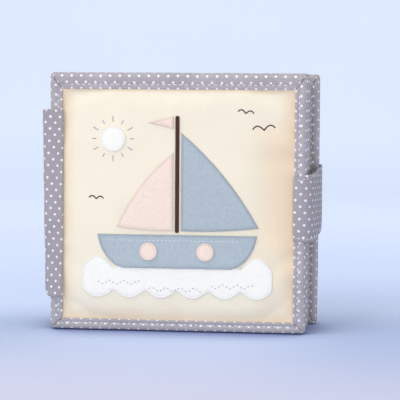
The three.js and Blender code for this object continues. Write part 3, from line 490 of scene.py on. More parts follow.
def stitches(builder, line, normals, pitch, share, radius, sink=0.3, material=0):
    """Running stitches along a line: each rises out of the cloth, lies on it and goes down again."""
    line = np.asarray(line, float)
    run = run_along(line)
    count = max(1, int(run[-1] / pitch))
    step = run[-1] / count
    lift = radius * STITCH_LIFT - sink * radius
    for i in range(count):
        at = (i + 0.5 + share * np.linspace(-0.5, 0.5, len(lift))) * step
        out = look_up(at, run, np.broadcast_to(normals, line.shape))
        points = look_up(at, run, line) + out * lift[:, None]
        tube(builder, points, out, radius, flat=0.8, sides=5, material=material)


# Pads: each leaf is one stuffed pillow of two panels, held all round by its binding

PAD_STEP = 3.6 * MM
PAD_FRAMES = 20
PAD_FLAT_SHARE = 0.7  # of its rise, before the simulation
HELD_PAST_HEM = 0.5 * MM
KEPT_BACK, KEPT_BACK_FROM, KEPT_BACK_RUN = 3 * MM, 22 * MM, 20 * MM
CLOTH = {
    "quality": 6, "mass": 0.2, "use_pressure": True, "uniform_pressure_force": 4, "vertex_group_mass": "held",
    "shrink_min": -0.012, "bending_stiffness": 0.3,
}


def ease(run, length):
    return 1 - (1 - np.clip(run / length, 0, 1)) ** 2


def crown(u, v):
    ends = np.minimum(v - FOOT_WIDTH, LEAF_HIGH - TOP_WIDTH - v)
    return ease(LEAF_HALF - SIDE_WIDTH - np.abs(u), CROWN_RUN) * ease(ends, CROWN_RUN)


def pad_lines(low, high):
    return np.linspace(low, high, int(round((high - low) / PAD_STEP)) + 1)


def placed_on(leaf, page, points):
    """The middle leaf's free edge keeps back behind the other two."""
    placed = to_frame(page, points)
    if leaf == "middle":
        share = (placed[:, 0] - LEAF_MIDDLE[leaf].x - LEAF_HALF + KEPT_BACK_FROM) / KEPT_BACK_RUN
        placed[:, 0] -= KEPT_BACK * soft_step(np.clip(share, 0, 1))
    return placed


def make_pad(leaf, *pages):
    us = pad_lines(PAD_INSET - LEAF_HALF, LEAF_HALF - PAD_INSET)
    vs = pad_lines(PAD_INSET, LEAF_HIGH - PAD_INSET)
    n, m = len(us), len(vs)
    u, v = (grid.ravel() for grid in np.meshgrid(us, vs, indexing="ij"))
    swell = crown(u, v)
    rises, puffs = zip(*(PAGES[page][2] for page in pages))
    heights = [side * (PAD_EDGE + PAD_FLAT_SHARE * rise * swell) for side, rise in zip((1, -1), rises)]
    points = np.vstack([np.stack([u, v, w], 1) for w in heights])

    def at(side, i, j):
        return side * n * m + i * m + j

    faces, chosen = [], []
    for i in range(n - 1):
        for j in range(m - 1):
            faces.append((at(0, i, j), at(0, i + 1, j), at(0, i + 1, j + 1), at(0, i, j + 1)))
            faces.append((at(1, i, j), at(1, i, j + 1), at(1, i + 1, j + 1), at(1, i + 1, j)))
            chosen += [0, 1]
    rim = [(i, 0) for i in range(n - 1)] + [(n - 1, j) for j in range(m - 1)]
    rim += [(i, m - 1) for i in range(n - 1, 0, -1)] + [(0, j) for j in range(m - 1, 0, -1)]
    for here, after in zip(rim, rim[1:] + rim[:1]):
        faces.append((at(0, *here), at(1, *here), at(1, *after), at(0, *after)))
        chosen.append(0)
    cloths = [PAD_CLOTH[page] for page in pages]
    pad = make_piece(f"{leaf}_pad", placed_on(leaf, pages[0], points), faces, cloths, chosen)
    held = (np.abs(u) > LEAF_HALF - SIDE_WIDTH + HELD_PAST_HEM) | (v < FOOT_WIDTH - HELD_PAST_HEM)
    held |= v > LEAF_HIGH - TOP_WIDTH + HELD_PAST_HEM
    inflate(pad, np.tile(held, 2), np.repeat(puffs, n * m))
    panels = ["front_cover_panel" if page == "cover" else f"{page}_panel" for page in pages]
    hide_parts(f"{leaf}_batting", *panels)
    settle(pad, f"{leaf}_leaf")
    return pad


CREASES = (
    # from and to (x and z, mm), half width, depth
    ((88, 152), (66, 163), 6.0, 1.1), ((88, 137), (58, 131), 7.0, 1.25), ((87, 60), (64, 48), 6.5, 1.05),
    ((86, 40), (70, 22), 5.5, 0.75), ((87, 66), (74, 80), 5.5, 0.65), ((30, 10), (70, 17), 5.5, 0.5),
    ((-92, 150), (-80, 160), 5.0, 0.5), ((-92, 60), (-78, 52), 5.0, 0.5),
)


def crease(points, rest):
    """Soft dents in the cover where its closure and spine pull at it."""
    outer = rest[:, 1] < LEAF_MIDDLE["front"].y
    xz = rest[:, [0, 2]] / MM
    for start, end, half, depth in CREASES:
        way = np.subtract(end, start).astype(float)
        along = np.clip((xz - start) @ way / np.dot(way, way), 0, 1)
        away = np.linalg.norm(xz - start - along[:, None] * way, axis=1) / half
        dent = depth * MM * (1 - 0.75 * along) * (np.exp(-away ** 2) - 0.45 * np.exp(-(away - 1.7) ** 2))
        points[:, 1] += np.where(outer, dent, 0)


def inflate(pad, held, puff):
    """Cloth simulation under pressure. A point moves at most as far as its puff."""
    rest = np.array([v.co for v in pad.data.vertices])
    group = pad.vertex_groups.new(name="held")
    group.add([int(i) for i in np.nonzero(held)[0]], 1.0, "REPLACE")
    cloth = pad.modifiers.new("cloth", "CLOTH")
    for key, value in CLOTH.items():
        setattr(cloth.settings, key, value)
    cloth.settings.effector_weights.gravity = 0
    cloth.collision_settings.use_collision = False
    cloth.point_cache.frame_start, cloth.point_cache.frame_end = 1, PAD_FRAMES
    for number in range(1, PAD_FRAMES + 1):
        bpy.context.scene.frame_set(number)
    done = pad.evaluated_get(bpy.context.evaluated_depsgraph_get())
    shift = np.array([v.co for v in done.data.vertices]) - rest
    pad.modifiers.remove(cloth)
    pad.vertex_groups.remove(group)
    bpy.context.scene.frame_set(1)
    limit = puff[:, None] * np.array([0.6, 1.0, 0.6])
    moved = rest + limit * np.tanh(shift / limit)
    if pad.name == "front_pad":
        crease(moved, rest)
    for vertex, place in zip(pad.data.vertices, moved):
        vertex.co = place
    smooth = pad.modifiers.new("smooth", "SUBSURF")
    smooth.levels = smooth.render_levels = 1


PADS = {
    "front": make_pad("front", "cover", "page_2"),
    "middle": make_pad("middle", "page_3", "page_4"),
    "back": make_pad("back", "page_5", "back_cover"),
}


def surface_of(piece):
    """The piece's final surface, for laying others on it."""
    done = piece.evaluated_get(bpy.context.evaluated_depsgraph_get())
    mesh = done.to_mesh()
    points = [piece.matrix_world @ v.co for v in mesh.vertices]
    tree = BVHTree.FromPolygons(points, [tuple(p.vertices) for p in mesh.polygons])
    done.to_mesh_clear()
    return tree


bpy.context.view_layer.update()
COVER_PAD = surface_of(PADS["front"])
RAY_FROM = 40 * MM


def height_on(page, u, v, trees):
    """How far out of the page the topmost of these surfaces lies."""
    leaf, side, _ = PAGES[page]
    start = Vector(to_frame(page, [(u, v, RAY_FROM)])[0])
    hits = [tree.ray_cast(start, Vector((0, -side, 0)))[0] for tree in trees]
    return max((side * (hit.y - LEAF_MIDDLE[leaf].y) for hit in hits if hit is not None), default=PAD_EDGE)


# Bindings: dotted tape folded round the pad's edge, mitred at its corners

CORNER_RADIUS = 3 * MM
STITCH_FROM_HEM = 3.3 * MM
GROOVE_DEPTH, GROOVE_HALF = 0.55 * MM, 0.75 * MM
TAPE_PUFF = 0.45 * MM
MITRE_DEPTH, MITRE_HALF = 1.3 * MM, 0.75 * MM
TAPE_UNDER, TAPE_INSIDE = 4.4 * MM, 1.6 * MM
EDGE_ROUND, EDGE_POWER = 3.6 * MM, 2.3
FOOT_ROUND, FOOT_ROUND_NEAR = 2.5 * MM, 14 * MM  # the foot's tighter edge, and how far from a corner it is full
HEM_ROUND = 0.7 * MM
TOP_PROUD = 1.2 * MM
DOT_ROWS = {"foot": (-0.1 * MM, 1.15)}  # the first row's shift from the hem, and how much closer the rows are
OTHER_DOT_ROWS = (-0.6 * MM, 1.0)
SIDES = {  # width, the corner where the side starts, and the way in which its edge waves
    "top": (TOP_WIDTH, 0, (0, 1)), "right": (SIDE_WIDTH, 1, (1, 0)),
    "foot": (FOOT_WIDTH, 2, (0, 0)), "left": (SIDE_WIDTH, 3, (-1, 0)),
}
NEAR_STOPS = np.array([0, 0.0015, 0.003, 0.005, 0.008, 0.013, 0.02, 0.027])
SIDE_STOPS = np.concatenate([NEAR_STOPS, np.linspace(0.034, 0.966, 84), 1 - NEAR_STOPS[::-1]])


def mitre(corner, share):
    """A point of a mitred corner, share 0 at the leaf's edge and 1 at the hem."""
    u = (1 if corner in (1, 2) else -1) * (LEAF_HALF - share * SIDE_WIDTH)
    return np.array([u, LEAF_HIGH - share * TOP_WIDTH if corner in (0, 1) else share * FOOT_WIDTH])


def rounded(u, v, share):
    """Rounds the leaf's corner for a point at that share of the tape's width."""
    radius = CORNER_RADIUS * (1 - share) + 0.3 * MM
    middle_u = LEAF_HALF - share * SIDE_WIDTH - radius
    up = 1 if v > LEAF_HIGH / 2 else -1
    middle_v = (LEAF_HIGH - share * TOP_WIDTH if up > 0 else share * FOOT_WIDTH) - up * radius
    du, dv = abs(u) - middle_u, up * (v - middle_v)
    if du <= 0 or dv <= 0:
        return u, v
    shrink = max(du, dv) / math.hypot(du, dv)
    return math.copysign(middle_u + du * shrink, u), middle_v + up * dv * shrink


def tape_point(side, s, inset, height, seed):
    """s from 0 to 1 along the side, inset from the edge, height from the leaf's middle plane."""
    width, corner, lean = SIDES[side]
    share = clamp(inset / width)
    u, v = rounded(*(mitre(corner, share) * (1 - s) + mitre((corner + 1) % 4, share) * s), share)
    along = (s - 0.5) * 2 * LEAF_HALF
    wave = ripple(along, seed, 3.7, 24 * MM) * 0.3 * MM + ripple(along, seed, 9.1, 7 * MM) * 0.12 * MM
    out = (1 - share) * (wave + (TOP_PROUD if side == "top" else 0.0))
    if side in ("left", "right"):
        v += (1 - share) * TOP_PROUD * max(0.0, (v - LEAF_HIGH + TOP_WIDTH) / TOP_WIDTH)
    return u + out * lean[0], v + out * lean[1], height


def face_height(side, s, inset, seed):
    """Height of the tape's face over the leaf's middle plane."""
    width = SIDES[side][0]
    groove_at = width - STITCH_FROM_HEM
    along = (s - 0.5) * 2 * LEAF_HALF
    mitred = min(s, 1 - s) * 2 * LEAF_HALF
    pull = 1 + 0.35 * math.cos(2 * math.pi * along / STITCH_PITCH) + 0.6 * ripple(along, seed, 1.3, 18 * MM)
    puff = 1 + 0.5 * ripple(along, seed, 5.2, 15 * MM)
    height = BINDING_HALF - 0.1 * MM
    height -= GROOVE_DEPTH * pull * math.exp(-((inset - groove_at) / GROOVE_HALF) ** 2)
    height += TAPE_PUFF * puff * math.sin(math.pi * clamp((groove_at - inset) / groove_at)) ** 0.8
    hem = max(0.0, 1 - (width - inset) / HEM_ROUND)
    height -= HEM_ROUND * (1 - math.sqrt(max(0.0, 1 - hem ** 2)))
    height -= MITRE_DEPTH * math.exp(-(mitred / MITRE_HALF) ** 2)
    radius = EDGE_ROUND
    if side == "foot":
        radius += (FOOT_ROUND - EDGE_ROUND) * clamp(mitred / FOOT_ROUND_NEAR)
    if inset < radius:
        height *= (1 - (1 - max(0.0, inset) / radius) ** EDGE_POWER) ** (1 / EDGE_POWER)
    return height


def tape_insets(width):
    """Stations from the hem to the edge, closer together at the hem, the groove and the edge."""
    groove = width - STITCH_FROM_HEM
    face = [width - x * MM for x in (0.0, 0.15, 0.45, 1.1, 2.2)]
    face += [groove + x * MM for x in (0.7, 0.3, 0.0, -0.3, -0.7)]
    face += list(np.linspace(groove - 1.4 * MM, EDGE_ROUND, 4))
    return face + [EDGE_ROUND * x for x in (0.75, 0.52, 0.32, 0.16, 0.05, 0.0)]


def make_binding(leaf, index):
    page = {"front": "cover", "middle": "page_3", "back": "page_5"}[leaf]
    tape, sewing = Builder(), Builder()
    for number, (side, (width, _, _)) in enumerate(SIDES.items()):
        seed = index * 7.3 + number
        insets = tape_insets(width)
        first_dots, dot_rate = DOT_ROWS.get(side, OTHER_DOT_ROWS)
        rows, cloth = [], []
        for s in SIDE_STOPS:
            row, places, run, before = [], [], first_dots, None
            for sign, order in ((1, insets), (-1, insets[-2::-1])):
                for inset in order:
                    here = (inset, sign * face_height(side, s, inset, seed + sign))
                    run += dot_rate * math.dist(here, before) if before else 0.0
                    before = here
                    row.append(tape_point(side, s, *here, seed))
                    places.append((row[-1][0 if side in ("top", "foot") else 1], run))
            for inset, sign in ((width, -1), (TAPE_INSIDE, -1), (TAPE_INSIDE, 1), (width, 1)):
                row.append(tape_point(side, s, inset, sign * TAPE_UNDER, seed))
                places.append((0.0, run))
            rows.append(placed_on(leaf, page, row))
            cloth.append(places)
        tape.grid(rows, cloth, around=True)
        inset = width - STITCH_FROM_HEM
        trim = inset / (2 * LEAF_HALF) + 0.004
        for sign in (1, -1):
            line = [tape_point(side, s, inset, sign * face_height(side, s, inset, seed + sign), seed)
                    for s in np.linspace(trim, 1 - trim, 160)]
            stitches(sewing, placed_on(leaf, page, line), outward(page, sign), STITCH_PITCH, 0.7, 0.4 * MM, 0.15)
    piece = tape.piece(f"{leaf}_tape", [DOTTED])
    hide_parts(f"{leaf}_binding")
    settle(piece, f"{leaf}_leaf")
    sewing.sewn(f"{leaf}_tape_stitches", [WHITE_THREAD], "dotted_cloth", f"{leaf}_leaf")


for index, leaf in enumerate(LEAVES):
    make_binding(leaf, index)

# Flat pieces: felt shapes, patches and pocket cloth, cut to the outline of their CAD node

RING_INSETS = [d * MM for d in (0.2, 0.5, 0.9, 1.3, 1.65, 2.0, 2.5, 3.2)]
FINE_RINGS = 0.8 * MM
FILL_STEP = 3.2 * MM
STITCH_INSET = 1.65 * MM
OUTLINE_STEP, SHARP_TURN = 1.0 * MM, 0.6
BRIDGED = 2.2 * MM
CUT_ROUND, GROOVE_SPREAD = 0.75 * MM, 0.45 * MM
FELT_SWELL, FELT_SWELL_FROM = 0.12 * MM, 4 * MM


def area_of(loop):
    x, y = np.asarray(loop).T
    return 0.5 * float(np.dot(x, np.roll(y, -1)) - np.dot(y, np.roll(x, -1)))


def outlines_of(node, page):
    """The outline loops of a flat CAD node, in page coordinates, with its height range."""
    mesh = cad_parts[node].data
    mesh.calc_loop_triangles()
    local = to_page(page, [tuple(v.co) for v in mesh.vertices])
    low, high = local[:, 2].min(), local[:, 2].max()
    keys = {}
    index = [keys.setdefault(tuple(p), len(keys)) for p in np.round(local * 1e6).astype(int)]
    where = np.array(list(keys)) / 1e6
    edges = set()
    for triangle in mesh.loop_triangles:
        a, b, c = corners = [index[i] for i in triangle.vertices]
        if where[corners, 2].min() < high - 0.01 * MM or len(set(corners)) < 3:
            continue
        for edge in ((a, b), (b, c), (c, a)):
            if edge[::-1] in edges:
                edges.remove(edge[::-1])
            else:
                edges.add(edge)
    after = dict(edges)
    loops = []
    while after:
        start, here = after.popitem()
        loop = [start]
        while here != start:
            loop.append(here)
            here = after.pop(here)
        loops.append(where[loop][:, :2])
    return sorted(loops, key=lambda loop: -abs(area_of(loop))), low, high


def soft_loop(loop):
    """The loop in even short steps. Its sharp corners stay."""
    before, after = loop - np.roll(loop, 1, 0), np.roll(loop, -1, 0) - loop
    heading = [np.arctan2(way[:, 1], way[:, 0]) for way in (before, after)]
    turn = np.abs((heading[1] - heading[0] + math.pi) % (2 * math.pi) - math.pi)
    sharp = [int(i) for i in np.nonzero(turn > SHARP_TURN)[0]]
    if not sharp:
        return spaced(loop, OUTLINE_STEP, closed=True)
    parts = zip(sharp, sharp[1:] + [sharp[0] + len(loop)])
    return np.vstack([
        spaced(loop[[i % len(loop) for i in range(first, last + 1)]], OUTLINE_STEP)[:-1] for first, last in parts
    ])


def inside(points, loop):
    x, y = points[:, :1], points[:, 1:]
    x0, y0 = loop.T
    x1, y1 = np.roll(loop, -1, 0).T
    with np.errstate(divide="ignore", invalid="ignore"):
        at = x0 + (y - y0) / (y1 - y0) * (x1 - x0)
    return (np.sum(((y0 > y) != (y1 > y)) & (x < at), 1) % 2).astype(bool)


def within(points, loops):
    keep = inside(points, loops[0])
    for hole in loops[1:]:
        keep &= ~inside(points, hole)
    return keep


def depth_in(points, loops):
    """Distance from each point to the nearest outline."""
    best = np.full(len(points), 1.0)
    for loop in loops:
        way = np.roll(loop, -1, 0) - loop
        t = np.einsum("ijk,jk->ij", points[:, None] - loop, way) / np.maximum((way ** 2).sum(1), 1e-18)
        near = loop + np.clip(t, 0, 1)[..., None] * way
        best = np.minimum(best, np.linalg.norm(points[:, None] - near, axis=2).min(1))
    return best


def inset_line(loop, loops, inset):
    """The outline moved inside by that distance, and which of its points keep that distance."""
    tangent = unit(np.roll(loop, -1, 0) - np.roll(loop, 1, 0))
    inward = np.stack([-tangent[:, 1], tangent[:, 0]], 1) * (1 if area_of(loops[0]) > 0 else -1)
    moved = loop + inward * inset
    return moved, within(moved, loops) & (depth_in(moved, loops) > inset * 0.93)


def runs_of(moved, good):
    """Splits an inset line where it breaks. A short break, as at a corner, is bridged."""
    if good.all():
        return [np.vstack([moved, moved[:1]])]
    if not good.any():
        return []
    start = -int(np.nonzero(~good)[0][0])
    moved, good = np.roll(moved, start, 0), np.roll(good, start)
    breaks = np.nonzero(good[1:] != good[:-1])[0] + 1
    joined = []
    for run, kept in zip(np.split(moved, breaks), np.split(good, breaks)):
        if kept[0] and joined and np.linalg.norm(run[0] - joined[-1][-1]) < BRIDGED:
            joined[-1] = np.vstack([joined[-1], run])
        elif kept[0]:
            joined.append(run)
    if len(joined) == 1 and np.linalg.norm(joined[0][0] - joined[0][-1]) < BRIDGED:
        joined[0] = np.vstack([joined[0], joined[0][:1]])
    return [run for run in joined if len(run) > 3]


def make_flat(node, page, material, trees=None, body=None, thick=FELT, groove=0.28 * MM, rests=(), with_pieces=(),
              declared=True, soften=0):
    """A cloth or felt piece with rounded cut edges and a stitched groove, laid on what is under it."""
    loops, low, high = outlines_of(node, page)
    loops = [soft_loop(loop) for loop in loops]
    for _ in range(soften):
        loops = [(np.roll(loop, 1, 0) + 2 * loop + np.roll(loop, -1, 0)) / 4 for loop in loops]
    rings, edges, count = [], [], 0
    for loop in loops:
        for inset in RING_INSETS:
            moved, good = inset_line(loop, loops, inset)
            rings.append(moved[good][:: 1 if inset < FINE_RINGS else 2])
        edges += [(count + i, count + (i + 1) % len(loop)) for i in range(len(loop))]
        count += len(loop)
    us, vs = (np.arange(axis.min(), axis.max(), FILL_STEP) for axis in loops[0].T)
    grid = np.array([(u + (j % 2) * FILL_STEP / 2, v) for j, v in enumerate(vs) for u in us])
    grid = grid[within(grid, loops)]
    grid = grid[depth_in(grid, loops) > RING_INSETS[-1] + 1.2 * MM]
    made = delaunay_2d_cdt([Vector(p) for p in np.vstack(loops + rings + [grid])], edges, [], 1, 1e-7)
    flat = np.array([tuple(p) for p in made[0]])
    keep = within(np.array([flat[list(f)].mean(0) for f in made[2]]), loops)
    faces = [f for f, k in zip(made[2], keep) if k]
    depth = depth_in(flat, loops)
    base = lay(page, flat, faces, trees) if trees else np.full(len(flat), low)
    swell = np.array([ripple(u, v, high * 900, 14 * MM) for u, v in flat])
    top = thick * (0.4 + 0.6 * np.sqrt(1 - (1 - np.clip(depth / CUT_ROUND, 0, 1)) ** 2))
    top -= groove * np.exp(-((depth - STITCH_INSET) / GROOVE_SPREAD) ** 2)
    top += FELT_SWELL * swell * np.clip(depth / FELT_SWELL_FROM, 0, 1)
    border = {}
    for f in faces:
        for edge in zip(f, f[1:] + f[:1]):
            if not border.pop(edge[::-1], False):
                border[edge] = True
    n = len(flat)
    faces = faces + [tuple(n + i for i in reversed(f)) for f in faces] + [(b, a, n + a, n + b) for a, b in border]
    used = sorted({i for f in faces for i in f})
    renumber = {old: new for new, old in enumerate(used)}
    both = np.vstack([np.column_stack([flat, base + top]), np.column_stack([flat, base + 0.02 * MM])])
    builder = Builder()
    builder.points, builder.cloth = to_frame(page, both)[used], both[used, :2]
    builder.faces, builder.chosen = [tuple(renumber[i] for i in f) for f in faces], [0] * len(faces)
    piece = builder.piece(f"{node}_cloth", [material])
    add_coordinates(piece.data, "edge", [(depth[i % n], 0.0) for i in used])
    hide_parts(node)
    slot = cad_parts[node].data.materials[0].name.split(".")[0]
    settle(piece, body or f"{PAGES[page][0]}_leaf")
    return piece, loops


def lay(page, flat, faces, trees):
    """Heights of a cloth laid on what is under it. It bridges steps softly."""
    ground = np.array([height_on(page, u, v, trees) for u, v in flat])
    links = [set() for _ in flat]
    for f in faces:
        for a, b in zip(f, f[1:] + f[:1]):
            links[a].add(b)
            links[b].add(a)
    starts = np.array([i for i, others in enumerate(links) for _ in others], int)
    ends = np.array([j for others in links for j in others], int)
    counts = np.maximum(np.bincount(starts, minlength=len(flat)), 1)
    height = ground.copy()
    for _ in range(10):
        around = np.bincount(starts, weights=height[ends], minlength=len(flat)) / counts
        height = np.maximum(ground, around)
    return height + 0.06 * MM


def on_surfaces(page, line, surfaces):
    """A line in page coordinates, on the topmost of the surfaces, in the row frame."""
    return to_frame(page, [(u, v, height_on(page, u, v, surfaces)) for u, v in line])


def sew_line(builder, page, line, surfaces, material=0, pitch=TOPSTITCH_PITCH, share=0.76, radius=0.2 * MM):
    placed = on_surfaces(page, spaced(line, 0.8 * MM), surfaces)
    stitches(builder, placed, outward(page), pitch, share, radius, material=material)


def embroider(builder, page, line, surfaces, radius=0.5 * MM, material=0):
    """One thick sewn line on the page, smooth and rounded at its ends."""
    placed = on_surfaces(page, spaced(line, 0.7 * MM), surfaces)
    tube(builder, placed, outward(page), radius, flat=0.55, sides=8, material=material)


def sewn_flat(sewing, material, node, page, cloth, trees=None, inset=STITCH_INSET, outer_only=False, stitch=None,
              **look):
    """A flat piece with small stitches inside each outline, which go into the sewing."""
    piece, loops = make_flat(node, page, cloth, trees, **look)
    surface = surface_of(piece)
    for loop in loops[:1] if outer_only else loops:
        for run in runs_of(*inset_line(spaced(loop, 0.7 * MM, closed=True), loops, inset)):
            sew_line(sewing, page, run, [surface], material, **(stitch or {}))
    return piece, loops, surface


# Cover picture

cover_sewing = Builder()
BLUE_SEW, PALE_SEW, ROSE_SEW, BLACK_SEW = 0, 1, 2, 3
LONG_STITCH = {"pitch": 3.2 * MM, "radius": 0.24 * MM}
_, _, SEA = sewn_flat(cover_sewing, PALE_SEW, "felt_sea", "cover", WHITE_FELT, [COVER_PAD], rests=["front_pad"],
                      soften=8)
_, _, HULL = sewn_flat(cover_sewing, BLUE_SEW, "felt_hull", "cover", BLUE_FELT, [COVER_PAD, SEA],
                       rests=["felt_sea_cloth"])
mast, _ = make_flat("felt_mast", "cover", BROWN_FELT, [COVER_PAD], groove=0.0, declared=False)
for node, cloth, sew, extra in (
    ("felt_mainsail", BLUE_FELT, BLUE_SEW, [mast]),
    ("felt_jib", PINK_FELT, ROSE_SEW, []),
    ("felt_pennant", PINK_FELT, ROSE_SEW, []),
    ("felt_sun", WHITE_FELT, PALE_SEW, []),
):
    sewn_flat(cover_sewing, sew, node, "cover", cloth, [COVER_PAD], rests=["front_pad"], with_pieces=extra)
for node in ("felt_porthole_left", "felt_porthole_right"):
    sewn_flat(cover_sewing, ROSE_SEW, node, "cover", PINK_FELT, [HULL], rests=["felt_hull_cloth"])
sun_middle = middle_of("felt_sun", "cover")[:2]
for number in range(12):
    turn = number * math.pi / 6
    ends = (13.2, 17.4 if number % 2 else 16.0)
    ray = [sun_middle + r * MM * np.array([math.cos(turn), math.sin(turn)]) for r in ends]
    embroider(cover_sewing, "cover", ray, [COVER_PAD], 0.34 * MM, BLUE_SEW)


def gull(u, v, span, lean):
    """Two wing arcs that meet at the middle."""
    wing = np.array([(-1.0, 0.10), (-0.72, 0.34), (-0.38, 0.30), (-0.10, 0.06), (0.0, -0.06)])
    line = curved(np.vstack([wing, (wing[::-1] * (-1, 1))[1:]]), 8) * span / 2
    turn = np.array([[math.cos(lean), -math.sin(lean)], [math.sin(lean), math.cos(lean)]])
    return line @ turn.T + (u, v)


for u, v, span, lean in ((0.0665, 0.158, 17, 0.08), (0.0525, 0.1705, 12, -0.12), (-0.063, 0.1035, 11, -0.06)):
    embroider(cover_sewing, "cover", gull(u, v, span * MM, lean), [COVER_PAD], 0.5 * MM, BLACK_SEW)
for height, start, end in ((0.0385, -62, -28), (0.0365, 26, 60), (0.0335, -22, 20)):
    us = np.linspace(start, end, 60) * MM
    wave = np.column_stack([us, height + 1.5 * MM * np.sin(us / (11 * MM) * 2 * math.pi)])
    sew_line(cover_sewing, "cover", wave, [SEA], BLUE_SEW, share=0.7, **LONG_STITCH)
HULL_LINE = [(-0.055, 0.0715), (0.048, 0.0715)]
sew_line(cover_sewing, "cover", HULL_LINE, [HULL], PALE_SEW, share=0.66, **LONG_STITCH)
cover_sewing.sewn("cover_stitches", [BLUE_THREAD, PALE_THREAD, ROSE_THREAD, BLACK_THREAD], "blue_felt", "front_leaf")

# Clock on page 2

dial_sewing = Builder()
_, dial_loops, DIAL = sewn_flat(dial_sewing, 1, "clock_dial", "page_2", WHITE_FELT, rests=["front_pad"])
DIAL_MIDDLE = (dial_loops[0].min(0) + dial_loops[0].max(0)) / 2
DIGIT_HIGH, DIGIT_STEP, DIGITS_AT = 9 * MM, 0.62, 37.5 * MM
SIX = [(0.22, 0.48), (-0.12, 0.24), (-0.26, -0.14), (-0.1, -0.47), (0.2, -0.4), (0.24, -0.12), (0.02, 0.06),
       (-0.2, -0.06)]
DIGITS = {
    "1": [[(-0.18, 0.30), (0.05, 0.5), (0.05, -0.5)]],
    "2": [[(-0.28, 0.25), (-0.1, 0.48), (0.18, 0.44), (0.27, 0.2), (0.08, -0.1), (-0.3, -0.5)],
          [(-0.3, -0.5), (0.3, -0.5)]],
    "3": [[(-0.26, 0.38), (0.0, 0.5), (0.24, 0.3), (0.02, 0.04), (0.28, -0.22), (0.02, -0.5), (-0.28, -0.36)]],
    "6": [SIX],
    "9": [[(-u, -v) for u, v in SIX]],
}
for hour in range(12):
    turn = math.pi / 2 - hour * math.pi / 6
    out = np.array([math.cos(turn), math.sin(turn)])
    if hour % 3:
        lines = [[DIAL_MIDDLE + out * r * MM for r in (36.5, 41)]]
    else:
        lines, text = [], str(hour or 12)
        for place, digit in enumerate(text):
            for stroke in DIGITS[digit]:
                shape = np.array(stroke) + ((place - (len(text) - 1) / 2) * DIGIT_STEP, 0)
                shape = curved(shape, 6) if digit != "1" and len(stroke) > 2 else shape
                lines.append(DIAL_MIDDLE + out * DIGITS_AT + shape * DIGIT_HIGH)
    for line in lines:
        embroider(dial_sewing, "page_2", line, [DIAL], 0.55 * MM, 0)
dial_sewing.sewn("dial_stitches", [BLUE_THREAD, PALE_THREAD], "blue_felt", "front_leaf")
for node, cloth, sew in (("hour_hand", BLUE_FELT, BLUE_THREAD), ("minute_hand", BROWN_FELT, BROWN_THREAD)):
    hand_sewing = Builder()
    sewn_flat(hand_sewing, 0, node, "page_2", cloth, body=node, rests=["clock_dial_cloth"], outer_only=True,
              stitch={"radius": 0.17 * MM})
    hand_sewing.sewn(f"{node}_stitches", [sew], "blue_felt", node)

# Zip pocket on page 3

pocket_sewing = Builder()
for node in ("pocket_panel", "zip_facing"):
    sewn_flat(pocket_sewing, 0, node, "page_3", BLUE, thick=0.9 * MM, groove=0.2 * MM, rests=["middle_pad"],
              inset=2.2 * MM, stitch={"pitch": 3.0 * MM, "share": 0.72})
pocket_sewing.sewn("pocket_stitches", [WHITE_THREAD], "blue_cloth", "middle_leaf")

# Flower on page 4

stem_sewing, petal_sewing = Builder(), Builder()
stem, _, _ = sewn_flat(stem_sewing, 0, "flower_stem", "page_4", GREEN_FELT, groove=0.2 * MM, declared=False)
for node, extra in (("flower_leaf_left", [stem]), ("flower_leaf_right", [])):
    sewn_flat(stem_sewing, 0, node, "page_4", GREEN_FELT, rests=["middle_pad"], with_pieces=extra)
stem_sewing.sewn("stem_stitches", [GREEN_THREAD], "green_felt", "middle_leaf")
_, loops, PETALS = sewn_flat(petal_sewing, 0, "flower", "page_4", PINK_FELT, body="flower", outer_only=True,
                             rests=["flower_stem_cloth"])
flower_middle = middle_of("flower_button", "page_4")[:2]
for number in range(6):
    turn = number * math.pi / 3 + 0.5
    to_tip = loops[0][np.argmax((loops[0] - flower_middle) @ (math.cos(turn), math.sin(turn)))] - flower_middle
    line = [flower_middle + to_tip * share for share in (0.36, 0.72)]
    sew_line(petal_sewing, "page_4", line, [PETALS], 0, 3.0 * MM, 0.7, 0.24 * MM)
petal_sewing.sewn("flower_stitches", [ROSE_THREAD], "pink_felt", "flower")

# Strips: dotted cloth along a route in plan, standing between two heights

STRIP_ROUND = 1.3 * MM
ROUND_STOPS = np.array([0.0, 0.12, 0.3, 0.6])
STRIP_WAVE = 0.35 * MM
SEAM_IN, SEAM_DEPTH, SEAM_SPREAD = 2.6 * MM, 0.22 * MM, 0.6 * MM


def rounding(distance):
    """The share of its thickness that a strip has at that distance from its edge."""
    return 0.25 + 0.75 * math.sqrt(max(0.0, 1 - (1 - min(1.0, distance / STRIP_ROUND)) ** 2))


